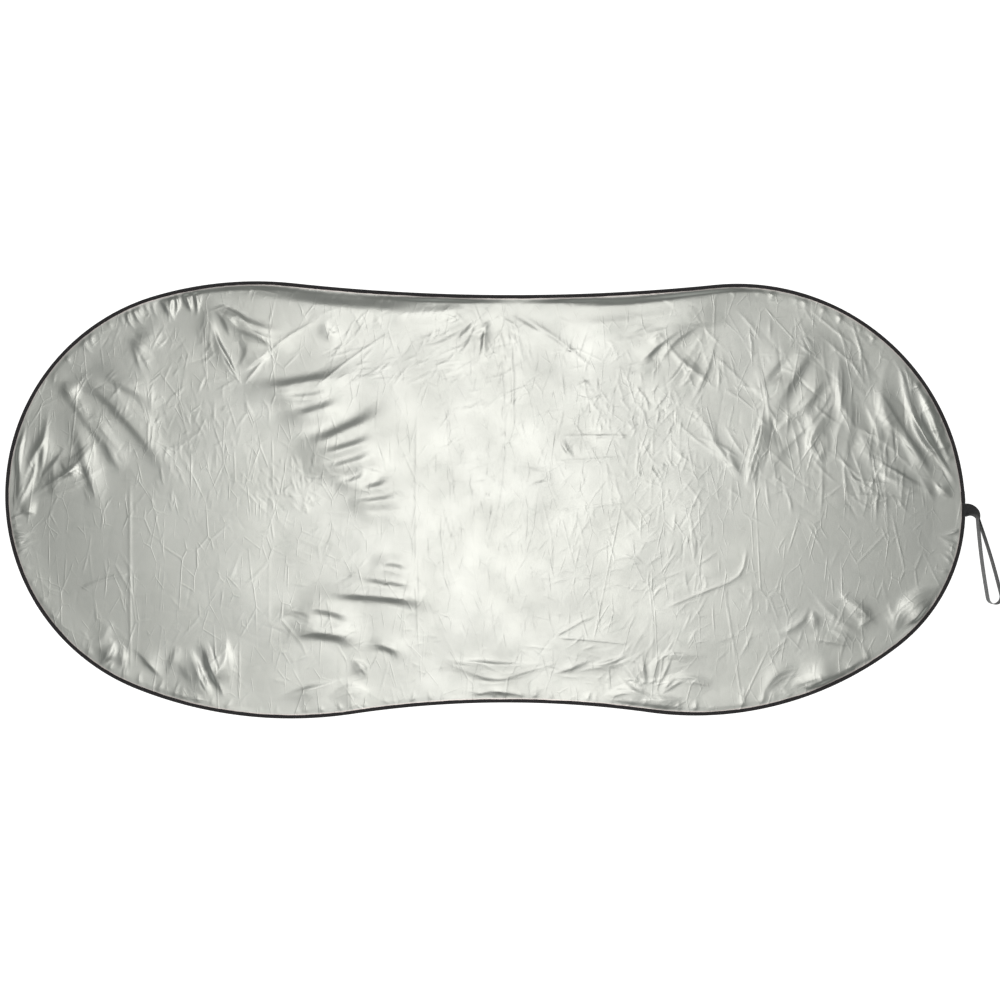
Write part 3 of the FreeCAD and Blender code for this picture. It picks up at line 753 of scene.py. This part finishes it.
def cloth_grid(step):
    """A regular grid of quads over the panel, with its edge drawn to the hem line."""
    left = LEFT_END[0] - LEFT_END[2] - CUTS[0]
    right = RIGHT_END[0] + RIGHT_END[2] - CUTS[0]
    columns = CUTS[0] + step * np.arange(math.floor(left / step), math.ceil(right / step) + 1)
    reach = round(PANEL_REACH / step)
    rows = step * np.arange(-reach, reach + 1)
    x, y = np.meshgrid(columns, rows, indexing="ij")
    depth, along = from_outline(x, y)
    inside = depth > CLOTH_INSET + 0.45 * step
    cells = inside[:-1, :-1] & inside[1:, :-1] & inside[:-1, 1:] & inside[1:, 1:]
    number = np.arange(x.size).reshape(x.shape)
    i, j = np.nonzero(cells)
    corners = [number[i, j], number[i + 1, j], number[i + 1, j + 1], number[i, j + 1]]
    faces = np.stack(corners, axis=1)
    around = np.bincount(faces.ravel(), minlength=x.size)
    edge = (around > 0) & (around < 4)
    points = np.stack([x.ravel(), y.ravel()], axis=1)
    painted_edge_highlight, outward = on_outline(along.ravel()[edge])
    points[edge] = painted_edge_highlight - outward * CLOTH_INSET
    used, compact = np.unique(faces, return_inverse=True)
    points = points[used]
    depth = from_outline(points[:, 0], points[:, 1])[0]
    return points, depth, compact.reshape(faces.shape)


def cloth_layers(points, depth):
    """UV layers in metres: where a point is on the flat cut, and how far from the rim."""
    edge = np.stack([depth, np.zeros(len(depth))], axis=1)
    return {"rest": points / 1000, "edge": edge / 1000}


def reflective_cloth(material):
    flat, depth, faces = cloth_grid(1.6)
    points = np.column_stack([flat, cloth_heights(flat[:, 0], flat[:, 1], depth)])
    layers = cloth_layers(flat, depth)
    pieces = cut_and_blend(
        "silver_cloth", points, faces, material, "reflective_cloth", layers, FAR_CUTS
    )


def backing_cloth(material):
    """The lining lies just under the reflective cloth and follows its larger folds."""
    flat, depth, faces = cloth_grid(4.0)
    height = cloth_heights(flat[:, 0], flat[:, 1], depth) - BACKING_GAP
    low = np.minimum(height, CLOTH_LEVEL - BACKING_GAP)
    below = LOWEST_BACKING + BACKING_SHARE * (low - LOWEST_BACKING)
    sunk = ease(np.clip((depth - RIM_WIDTH) / BACKING_REACH, 0, 1))
    height = np.maximum(low + (below - low) * sunk, LOWEST_BACKING)
    points = np.column_stack([flat, height])
    layers = cloth_layers(flat, depth)
    pieces = cut_and_blend(
        "lining", points, faces[:, ::-1], material, "backing_cloth", layers
    )


# ---------------------------------------------------------------- sweeps round the rim

def rim_stations(step):
    """Distances along the outline, with one exactly at each crossing of a cut."""
    count = round(PERIMETER / step)
    stations = np.arange(count) * PERIMETER / count
    points = on_outline(stations)[0]
    for cut in CUTS:
        beyond = points[:, 0] > cut
        for i in np.flatnonzero(beyond != np.roll(beyond, -1)):
            a, b = points[i, 0], points[(i + 1) % count, 0]
            share = (cut - a) / (b - a)
            nearer = i if share < 0.5 else (i + 1) % count
            stations[nearer] = (stations[i] + share * PERIMETER / count) % PERIMETER
    return stations


def off_rim(stations, inset, height):
    """Rings of points at stations along the outline, this far inside it and this high."""
    base, outward = on_outline(stations)
    flat = base[:, None] - outward[:, None] * inset[..., None]
    return np.concatenate([flat, np.broadcast_to(height, flat.shape[:2])[..., None]], axis=2)


def grid_faces(length, around, closed):
    """Quads between neighbouring rings; closed joins the last ring to the first."""
    i = np.arange(length if closed else length - 1)
    i, j = (grid.ravel() for grid in np.meshgrid(i, np.arange(around), indexing="ij"))
    next_i = (i + 1) % length
    next_j = (j + 1) % around
    corners = [i * around + j, next_i * around + j, next_i * around + next_j, i * around + next_j]
    return np.stack(corners, axis=1)


def grid_layer(along, around):
    """A UV layer in metres: along a sweep, and round its section."""
    u, v = np.meshgrid(along, around, indexing="ij")
    return {"rest": np.stack([u.ravel(), v.ravel()], axis=1) / 1000}


def section_lengths(section):
    """The way round a section to each of its points."""
    steps = np.hypot(*np.diff(section, axis=0).T)
    return np.concatenate([[0], np.cumsum(steps)])


def smooth_noise(distance, wavelength, random):
    """A periodic smooth random curve along the outline, about -1 to 1."""
    count = max(4, round(PERIMETER / wavelength))
    values = random.uniform(-1, 1, count)
    place = distance / PERIMETER * count
    index = place.astype(int) % count
    share = place - np.floor(place)
    return values[index] + (values[(index + 1) % count] - values[index]) * ease(share)


def tape_section():
    """Folded tape: a round top over the strip, then a flat flange each side of the cloth."""
    high, middle = RIM_HEIGHT, RIM_HEIGHT / 2
    top = [
        (RIM_WIDTH, middle + 0.30),
        (RIM_WIDTH + 0.02, middle + 0.55),
        (RIM_WIDTH - 0.12, middle + 0.70),
        (RIM_WIDTH - 0.8, middle + 0.76),
        (RIM_WIDTH - 1.7, middle + 0.84),
        (RIM_WIDTH - 2.3, middle + 1.15),
        (2.75, high - 0.40),
        (2.2, high - 0.08),
        (1.5, high),
        (0.8, high - 0.07),
        (0.3, high - 0.38),
        (0.06, middle + 1.0),
    ]
    inner = [
        (3.3, middle - 0.30),
        (2.7, middle - 0.80),
        (2.3, 0.56),
        (0.95, 0.54),
        (0.52, 1.0),
        (0.52, high - 1.0),
        (0.95, high - 0.54),
        (2.3, high - 0.56),
        (2.7, middle + 0.80),
        (3.3, middle + 0.30),
    ]
    bottom = [(inset, high - height) for inset, height in reversed(top)]
    return top + [(0.0, middle)] + bottom + inner


def edge_tape(material):
    """The tape, its flanges a little wavy."""
    random = np.random.default_rng(RANDOM_SEED + 1)
    stations = rim_stations(3.0)
    section = np.array(tape_section())
    inset, height = section.T
    inward = np.clip((inset - TAPE_START) / (RIM_WIDTH - TAPE_START), 0, 1)
    sag = 0.30 * smooth_noise(stations, 26, random) + 0.16 * smooth_noise(stations, 9, random)
    lift = 0.10 * smooth_noise(stations, 17, random)
    upper = height > RIM_HEIGHT / 2 + 0.5
    rings = off_rim(
        stations, inset + sag[:, None] * inward, height + lift[:, None] * (inward * upper)
    )
    faces = grid_faces(len(stations), len(section), closed=True)
    layers = grid_layer(stations, section_lengths(section))
    points = rings.reshape(-1, 3)
    return cut_and_blend(
        "edge_tape_band", points, faces, material, "edge_tape", layers
    )


def frame_strip(material):
    """The flat spring strip that stands on edge inside the tape."""
    near, far = 0.85, 1.5
    low, high = RIM_HEIGHT / 2 - 1.2, RIM_HEIGHT / 2 + 1.2
    bevel = 0.12
    corners = [
        (near + bevel, low),
        (far - bevel, low),
        (far, low + bevel),
        (far, high - bevel),
        (far - bevel, high),
        (near + bevel, high),
        (near, high - bevel),
        (near, low + bevel),
    ]
    section = np.array(corners)
    stations = rim_stations(8.0)
    points = off_rim(stations, *section.T).reshape(-1, 3)
    faces = grid_faces(len(stations), len(section), closed=True)[:, ::-1]
    layers = grid_layer(stations, section_lengths(section))
    cut_and_blend("spring_strip", points, faces, material, "frame_strip", layers)


STITCH_PITCH = 3.6
STITCH_LENGTH = 2.5
SEAM_INSET = 4.5
THREAD_RADIUS = 0.2
THREAD_CORNERS = 6
THREAD_ANGLES = np.arange(THREAD_CORNERS) * 2 * math.pi / THREAD_CORNERS

# A stitch's rings: share of its length, thickness and rise as shares of the thread's.
HALF_STITCH = [(0.34, 0.9, 0.02), (0.5, 0.3, -0.45)]
STITCH_RINGS = [(-share, *sizes) for share, *sizes in reversed(HALF_STITCH)]
STITCH_RINGS += [(0.0, 1.0, 0.12), *HALF_STITCH]


def stitches(material):
    """A lockstitch through the flanges: one row of threads above and one below."""
    random = np.random.default_rng(RANDOM_SEED + 2)
    count = round(PERIMETER / STITCH_PITCH)
    along = np.arange(count) * PERIMETER / count
    inset = SEAM_INSET + random.uniform(-0.1, 0.1, count)
    surface = 0.76 + THREAD_RADIUS * 0.6
    rings = []
    for side in (1, -1):
        for share, thickness, rise in STITCH_RINGS:
            radius = THREAD_RADIUS * thickness
            level = RIM_HEIGHT / 2 + side * (surface + rise * THREAD_RADIUS * 2)
            insets = inset[:, None] + radius * np.cos(THREAD_ANGLES)
            heights = level + radius * np.sin(THREAD_ANGLES)
            rings.append(off_rim(along + share * STITCH_LENGTH, insets, heights))
    points = np.stack(rings, axis=1).reshape(-1, 3)
    one = grid_faces(len(STITCH_RINGS), THREAD_CORNERS, closed=False)
    first_corner = np.arange(count * 2) * len(STITCH_RINGS) * THREAD_CORNERS
    faces = (one + first_corner[:, None, None]).reshape(-1, 4)
    cut_and_blend("stitches", points, faces, material, "tape_seam", {})


# ---------------------------------------------------------------- at the right end

ELASTIC_WIDTH = 20.0
ELASTIC_THICKNESS = 1.0
LOOP_MIDDLE = -16.0
NECK_RADIUS = 16.0
LOOP_REACH = 121.0
LOOP_TIP_RADIUS = 11.0
NECK_START = RIGHT_END[0] + RIGHT_END[2] + 1.0
LOOP_HEADING = -78.0
RIB_HEIGHT = 0.07
RIB_TURNS = 4.5  # pairs of a rib and a groove from the elastic's middle to its edge
TACK_LENGTH = 18.0
TACK_WIDTH = 0.55
TACK_TURNS = 61
TACK_RADIUS = 0.16
LOOP_BELLY = 1.6  # how far each of the loop's two runs bulges out


def right_end(y):
    """The x of a height on the right end."""
    return RIGHT_END[0] + np.sqrt(RIGHT_END[2] ** 2 - (y - RIGHT_END[1]) ** 2)


def swept(rings, along, around, material, name):
    """A piece from rings of points, with a fan of quads over each open end."""
    length, count = rings.shape[:2]
    j = np.arange(count // 2 - 1)
    first = np.stack([j, j + 1, count - 2 - j, count - 1 - j], axis=1)
    last = first[:, ::-1] + (length - 1) * count
    faces = np.vstack([grid_faces(length, count, closed=False), first, last])
    return make_piece(name, rings.reshape(-1, 3), faces, material, grid_layer(along, around))


def unit(vectors):
    return vectors / np.linalg.norm(vectors, axis=1, keepdims=True)


def tape_lap(material):
    """Where the tape's end overlaps its start: one more thickness for a short way."""
    start = from_outline(np.array([right_end(-4.0)]), np.array([-4.0]))[1]
    stations = start + np.linspace(0, 16.0, 9)
    outer = np.array(tape_section())[:25]
    ray = unit(outer - [RIM_WIDTH / 2, RIM_HEIGHT / 2])
    section = np.vstack([outer + ray * [0.35, 0.45], (outer + ray * 0.03)[::-1]])
    section = np.maximum(section, [-0.4, 0.0])
    around = section_lengths(section)
    rings = off_rim(stations, *section.T)
    piece = swept(rings, stations, around, material, "tape_lap")
    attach(piece, "right_lobe")
    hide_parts("edge_tape_lap")


def neck_frames():
    """The elastic's middle line from its sewn root to where it stands on its edge, with the
    directions of its width and of its thickness."""
    steps = smooth_path(
        [
            (0.0, 0.0, RIM_HEIGHT + ELASTIC_THICKNESS),
            (26.0, 35.0, ELASTIC_WIDTH * 0.37),
            (52.0, 65.0, ELASTIC_WIDTH * 0.49),
            (78.0, 90.0, ELASTIC_WIDTH * 0.5),
        ],
        8,
    )
    root = [
        (-5.4, RIM_HEIGHT / 2 + 0.8 + ELASTIC_THICKNESS),
        (-4.3, RIM_HEIGHT / 2 + 0.85 + ELASTIC_THICKNESS),
        (-3.2, RIM_HEIGHT + 0.55),
        (-2.2, RIM_HEIGHT + 0.95),
        (-0.8, RIM_HEIGHT + ELASTIC_THICKNESS),
    ]
    middles = [(NECK_START + x, LOOP_MIDDLE, z) for x, z in root]
    widths = [(0.0, 1.0, 0.0)] * len(root)
    for heading, twist, z in steps:
        turned, lean = math.radians(heading), math.radians(twist)
        x = NECK_START + NECK_RADIUS * math.sin(turned)
        middles.append((x, LOOP_MIDDLE - NECK_RADIUS * (1 - math.cos(turned)), z))
        across = math.cos(lean)
        widths.append((math.sin(turned) * across, math.cos(turned) * across, math.sin(lean)))
    middles = np.array(middles)
    widths = np.array(widths)
    return middles, widths, unit(np.cross(np.gradient(middles, axis=0), widths))


def elastic_line():
    """The elastic's course along the neck, round the loop's tip and back to its root, with
    the direction of its width."""
    middles, widths, normals = neck_frames()
    half = ELASTIC_THICKNESS / 2
    ray = np.array([*ray_at(math.radians(LOOP_HEADING)), 0.0])
    side = normals[-1]
    tip = LOOP_TIP_RADIUS - half
    lean = math.asin((tip - half) / LOOP_REACH)
    share = np.linspace(0, 1, 24)[1:]
    ahead = ((LOOP_REACH - tip * math.sin(lean)) * share)[:, None] * ray
    aside = half + (tip * math.cos(lean) - half) * share + LOOP_BELLY * np.sin(math.pi * share)
    aside = aside[:, None] * side
    limit = math.pi / 2 + lean
    angles = np.linspace(limit, -limit, 26)[1:-1]
    turn = (LOOP_REACH + tip * np.cos(angles))[:, None] * ray
    turn = turn + (tip * np.sin(angles))[:, None] * side
    loop = middles[-1] + np.vstack([ahead + aside, turn, (ahead - aside)[::-1]])
    line = np.vstack([middles + normals * half, loop, (middles - normals * half)[::-1]])
    upright = np.tile(widths[-1], (len(loop), 1))
    return line, np.vstack([widths, upright, widths[::-1]])


def elastic_loop(material):
    """One flat ribbed elastic, doubled into a loop."""
    line, width = elastic_line()
    thick = unit(np.cross(np.gradient(line, axis=0), width))
    across = np.linspace(-1, 1, 41)
    rounded = np.sqrt(np.clip(1 - np.abs(across) ** 14, 0, 1))
    ribs = RIB_HEIGHT * np.cos(across * math.pi * 2 * RIB_TURNS)
    top = ((ELASTIC_THICKNESS / 2 - 0.06) * 0.86 + ribs) * rounded
    offsets = np.concatenate([across, across[-2:0:-1]]) * (ELASTIC_WIDTH / 2 - 0.05)
    heights = np.concatenate([top, -top[-2:0:-1]])
    rings = line[:, None] + width[:, None] * offsets[:, None] + thick[:, None] * heights[:, None]
    rings[..., 2] = np.maximum(rings[..., 2], 0.02)
    steps = np.linalg.norm(np.diff(line, axis=0), axis=1)
    along = np.concatenate([[0], np.cumsum(steps)])
    piece = swept(rings, along, offsets, material, "elastic")
    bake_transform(piece)
    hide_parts("loop_tab", "storage_loop")


def bar_tacks(material):
    """Two dense zigzags of thread that hold the elastic's root to the tape."""
    height = RIM_HEIGHT / 2 + 0.75 + 2 * ELASTIC_THICKNESS + 0.12
    turns = np.arange(TACK_TURNS)
    y = LOOP_MIDDLE + TACK_LENGTH * np.linspace(-0.5, 0.5, TACK_TURNS)
    angles = THREAD_ANGLES
    ring = np.stack([np.cos(angles) * 0.8, np.zeros(len(angles)), np.sin(angles)], axis=1)
    ring *= TACK_RADIUS
    for number, inset in enumerate((4.0, 4.9), 1):
        x = right_end(y) - inset - TACK_WIDTH * (turns % 2)
        line = np.column_stack([x, y, np.full(TACK_TURNS, height)])
        rings = line[:, None] + ring
        piece = swept(rings, turns * 0.6, angles, material, f"bar_tack_{number}")
        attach(piece, "right_lobe")
        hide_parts("loop_bar_tacks")


# ---------------------------------------------------------------- materials

class Material:
    """A node material that is built up step by step. Lengths in it are metres."""

    def __init__(self, name, colour, metallic, roughness):
        self.material = bpy.data.materials.new(name)
        self.material.use_nodes = True
        self.tree = self.material.node_tree
        self.shader = self.tree.nodes["Principled BSDF"]
        self.shader.inputs["Base Color"].default_value = (*colour, 1.0)
        self.shader.inputs["Metallic"].default_value = metallic
        self.shader.inputs["Roughness"].default_value = roughness
        self.surface = None
        self.where = self.add("ShaderNodeTexCoord").outputs["Object"]

    def add(self, kind, **settings):
        node = self.tree.nodes.new(kind)
        for name, value in settings.items():
            setattr(node, name, value)
        return node

    def join(self, source, target):
        self.tree.links.new(source, target)

    def on_layer(self, layer):
        """From here on textures follow this UV layer, so they stay put when a piece bends."""
        self.where = self.add("ShaderNodeUVMap", uv_map=layer).outputs["UV"]

    def noise(self, scale, detail, stretch=(1, 1, 1)):
        place = self.stretched(stretch)
        node = self.add("ShaderNodeTexNoise")
        node.inputs["Scale"].default_value = scale
        node.inputs["Detail"].default_value = detail
        self.join(place, node.inputs["Vector"])
        return node.outputs["Fac"]

    def cells(self, scale, stretch=(1, 1, 1), turn=0.0):
        place = self.stretched(stretch, turn)
        node = self.add("ShaderNodeTexVoronoi", feature="DISTANCE_TO_EDGE")
        node.inputs["Scale"].default_value = scale
        self.join(place, node.inputs["Vector"])
        return node.outputs["Distance"]

    def bands(self, pitch, direction):
        node = self.add("ShaderNodeTexWave", wave_type="BANDS", bands_direction=direction)
        node.inputs["Scale"].default_value = 2 * math.pi / pitch / 20
        self.join(self.where, node.inputs["Vector"])
        return node.outputs["Fac"]

    def stretched(self, stretch, turn=0.0):
        if stretch == (1, 1, 1) and not turn:
            return self.where
        node = self.add("ShaderNodeMapping")
        node.inputs["Scale"].default_value = stretch
        node.inputs["Rotation"].default_value = (0, 0, turn)
        self.join(self.where, node.inputs["Vector"])
        return node.outputs["Vector"]

    def product(self, a, b):
        node = self.add("ShaderNodeMath", operation="MULTIPLY")
        self.join(a, node.inputs[0])
        self.join(b, node.inputs[1])
        return node.outputs[0]

    def scaled(self, source, low, high, to_low=0.0, to_high=1.0):
        node = self.add("ShaderNodeMapRange")
        for socket, value in zip(node.inputs[1:5], (low, high, to_low, to_high)):
            socket.default_value = value
        self.join(source, node.inputs["Value"])
        return node.outputs["Result"]

    def tint(self, mask, colour):
        """Mixes a colour into the base colour where the mask is 1."""
        node = self.add("ShaderNodeMix", data_type="RGBA")
        base = self.shader.inputs["Base Color"]
        if base.links:
            self.join(base.links[0].from_socket, node.inputs["A"])
        else:
            node.inputs["A"].default_value = tuple(base.default_value)
        node.inputs["B"].default_value = (*colour, 1.0)
        self.join(mask, node.inputs["Factor"])
        self.join(node.outputs["Result"], base)

    def mottled(self, scale, detail, low, high, share, colour):
        """Blotches of a colour, up to that share of it, where the noise runs from low to high."""
        self.tint(self.scaled(self.noise(scale, detail), low, high, 0.0, share), colour)

    def rough(self, scale, detail, smoothest, roughest):
        """An uneven roughness."""
        uneven = self.scaled(self.noise(scale, detail), 0.3, 0.7, smoothest, roughest)
        self.join(uneven, self.shader.inputs["Roughness"])

    def sheen(self, weight, roughness=0.5):
        self.shader.inputs["Sheen Weight"].default_value = weight
        self.shader.inputs["Sheen Roughness"].default_value = roughness

    def weave(self, pitch_x, pitch_y, distance, strength):
        threads = self.product(self.bands(pitch_x, "X"), self.bands(pitch_y, "Y"))
        self.raised(threads, distance, strength)

    def raised(self, source, distance, strength):
        """Adds a bump of that height on top of those already there."""
        node = self.add("ShaderNodeBump")
        node.inputs["Distance"].default_value = distance
        node.inputs["Strength"].default_value = strength
        self.join(source, node.inputs["Height"])
        if self.surface is not None:
            self.join(self.surface, node.inputs["Normal"])
        self.surface = node.outputs["Normal"]
        self.join(self.surface, self.shader.inputs["Normal"])


def silver_material():
    """Aluminium-coated taffeta: a fine weave under a soft metal face, and a painted highlight at
    its edge.
    """
    made = Material("silver_coated_taffeta", (0.565, 0.57, 0.545), 0.92, 0.38)
    made.on_layer("edge")
    edge = made.add("ShaderNodeSeparateXYZ")
    made.join(made.where, edge.inputs["Vector"])
    # painted highlight: the cloth is tinted lighter up to 6.2 mm inside the outer edge, fading
    # out by 7.2 mm, for its edge catching the light beside the tape
    painted_edge_highlight = made.scaled(edge.outputs["X"], 0.0062, 0.0072, 1.0, 0.0)
    made.on_layer("rest")
    made.mottled(7.0, 4.0, 0.35, 0.7, 0.35, (0.62, 0.625, 0.585))
    made.mottled(38.0, 5.0, 0.55, 0.8, 0.35, (0.45, 0.47, 0.44))
    made.rough(16.0, 4.0, 0.35, 0.42)
    for scale, turn, depth in ((17.0, 0.5, 0.00022), (26.0, 1.7, 0.00019), (44.0, 2.6, 0.00015)):
        lines = made.scaled(made.cells(scale, (1.0, 0.42, 1.0), turn), 0.0, 0.034, 1.0, 0.0)
        broken = made.scaled(made.noise(scale * 0.8, 2.0), 0.46, 0.6)
        made.raised(made.product(lines, broken), depth, 0.6)
    made.raised(made.noise(420.0, 2.0), 0.00003, 0.6)
    made.weave(0.00036, 0.00042, 0.00001, 0.35)
    # paints that highlight in, lighter and warmer than the cloth's own colour
    made.tint(painted_edge_highlight, (0.72, 0.66, 0.64))
    return made.material


def lining_material():
    """White polyester taffeta."""
    made = Material("white_taffeta", (0.78, 0.78, 0.76), 0.0, 0.72)
    made.on_layer("rest")
    made.sheen(0.25, 0.4)
    made.mottled(24.0, 4.0, 0.45, 0.75, 0.5, (0.70, 0.70, 0.685))
    made.raised(made.scaled(made.cells(40.0, turn=0.7), 0.0, 0.1), 0.0002, 0.5)
    made.weave(0.0004, 0.0005, 0.00004, 0.7)
    return made.material


def tape_material():
    """Black woven binding tape, with worn lighter threads and darker patches here and there."""
    made = Material("black_binding_tape", (0.025, 0.021, 0.024), 0.0, 0.78)
    made.on_layer("rest")
    made.sheen(0.2)
    made.mottled(260.0, 4.0, 0.5, 0.75, 0.6, (0.06, 0.054, 0.058))
    made.mottled(30.0, 3.0, 0.5, 0.8, 0.5, (0.018, 0.016, 0.018))
    made.weave(0.0009, 0.0007, 0.00016, 0.8)
    made.raised(made.noise(900.0, 2.0), 0.00006, 0.5)
    return made.material


def elastic_material():
    """Black woven elastic: rubber cords along it, bound by fine cross threads."""
    made = Material("black_elastic", (0.022, 0.021, 0.024), 0.0, 0.7)
    made.on_layer("rest")
    made.sheen(0.3, 0.45)
    made.mottled(300.0, 4.0, 0.5, 0.75, 0.6, (0.06, 0.058, 0.064))
    made.raised(made.bands(0.0011, "X"), 0.00012, 0.7)
    made.raised(made.noise(1100.0, 2.0), 0.00005, 0.5)
    return made.material


def thread_material():
    """Twisted black sewing thread."""
    made = Material("sewing_thread", (0.045, 0.040, 0.043), 0.0, 0.55)
    made.sheen(0.3)
    made.mottled(900.0, 3.0, 0.45, 0.7, 0.7, (0.10, 0.092, 0.096))
    made.raised(made.noise(2600.0, 2.0, stretch=(1, 1, 0.4)), 0.00006, 0.7)
    return made.material


def steel_material(name, colour, roughness):
    """Rolled steel with fine marks along it."""
    made = Material(name, colour, 1.0, roughness)
    made.mottled(120.0, 4.0, 0.45, 0.8, 0.5, (0.34, 0.33, 0.31))
    made.rough(60.0, 3.0, roughness - 0.06, roughness + 0.1)
    made.raised(made.noise(800.0, 3.0, stretch=(0.2, 1, 1)), 0.00004, 0.5)
    return made.material


# ---------------------------------------------------------------- the studio

# The camera looks straight down; the view is as wide as the panel with a small margin.
VIEW_WIDTH = 1.512
CAMERA_HEIGHT = 2.55
CAMERA_X = (24.2 + SHIFT) / 1000
CAMERA_Y = -0.0008
FLOOR_LEVEL = -0.0006
FLOOR_SIZE = 12.0
FLOOR_GLOW = 0.85
ROOM_COLOUR = (0.95, 1.0, 0.96)
ROOM_STRENGTH = 0.13
WALL_STRENGTH = 0.75
WALL_FADE = (0.22, 0.62)
KEY_SIZE = (1.3, 1.8)
KEY_POWER = 18.3
KEY_PLACE = (-0.06, 0.0, 3.0)
KEY_COLOUR = (1.0, 0.985, 0.96)
CEILING_SIZE = (4.2, 3.2)
CEILING_POWER = 19.0
CEILING_PLACE = (0.0, 0.0, 3.6)
CEILING_COLOUR = (0.98, 1.0, 0.97)


def floor():
    mesh = bpy.data.meshes.new("floor")
    half = FLOOR_SIZE / 2
    corners = [(-half, -half, 0), (half, -half, 0), (half, half, 0), (-half, half, 0)]
    mesh.from_pydata(corners, [], [(0, 1, 2, 3)])
    plane = bpy.data.objects.new("floor", mesh)
    plane.location.z = FLOOR_LEVEL
    bpy.context.scene.collection.objects.link(plane)
    made = Material("pale_floor", (0.93, 0.93, 0.93), 0.0, 0.9)
    made.shader.inputs["Emission Color"].default_value = (1.0, 1.0, 1.0, 1.0)
    made.shader.inputs["Emission Strength"].default_value = FLOOR_GLOW
    made.raised(made.noise(60.0, 3.0), 0.0003, 0.1)
    mesh.materials.append(made.material)


def soft_light(name, size, power, place, colour):
    lamp = bpy.data.lights.new(name, "AREA")
    lamp.shape = "RECTANGLE"
    lamp.size, lamp.size_y = size
    lamp.energy = power
    lamp.color = colour
    light = bpy.data.objects.new(name, lamp)
    light.location = place
    bpy.context.scene.collection.objects.link(light)


def studio():
    scene = bpy.context.scene
    world = bpy.data.worlds.new("studio")
    world.use_nodes = True
    nodes, links = world.node_tree.nodes, world.node_tree.links
    background = nodes["Background"]
    background.inputs["Color"].default_value = (*ROOM_COLOUR, 1.0)
    # pale walls low down and a dim room above them, by the direction's upward share
    direction = nodes.new("ShaderNodeTexCoord")
    upward = nodes.new("ShaderNodeSeparateXYZ")
    walls = nodes.new("ShaderNodeMapRange")
    walls.interpolation_type = "SMOOTHSTEP"
    for socket, value in zip(walls.inputs[1:5], (*WALL_FADE, WALL_STRENGTH, ROOM_STRENGTH)):
        socket.default_value = value
    links.new(direction.outputs["Generated"], upward.inputs["Vector"])
    links.new(upward.outputs["Z"], walls.inputs["Value"])
    links.new(walls.outputs["Result"], background.inputs["Strength"])
    scene.world = world
    floor()
    soft_light("key", KEY_SIZE, KEY_POWER, KEY_PLACE, KEY_COLOUR)
    soft_light("ceiling", CEILING_SIZE, CEILING_POWER, CEILING_PLACE, CEILING_COLOUR)
    scene.view_settings.view_transform = "Standard"
    scene.view_settings.look = "None"
    camera = bpy.data.cameras.new("camera")
    camera.sensor_width = 36.0
    camera.lens = camera.sensor_width * CAMERA_HEIGHT / VIEW_WIDTH
    shown = bpy.data.objects.new("camera", camera)
    shown.location = (CAMERA_X, CAMERA_Y, CAMERA_HEIGHT)
    bpy.context.scene.collection.objects.link(shown)
    scene.camera = shown


# ---------------------------------------------------------------- build it

tape = tape_material()
thread = thread_material()
strip_steel = steel_material("spring_steel_strip", (0.42, 0.41, 0.40), 0.32)
ferrule_steel = steel_material("plated_ferrule", (0.55, 0.54, 0.52), 0.28)

bands = [band.name for band in edge_tape(tape)]
reflective_cloth(silver_material())
backing_cloth(lining_material())
frame_strip(strip_steel)
stitches(thread)
tape_lap(tape)
elastic_loop(elastic_material())
bar_tacks(thread)
ferrule = frame["nodes"]["strip_ferrule"]
ferrule.data.materials.clear()
ferrule.data.materials.append(ferrule_steel)
studio()
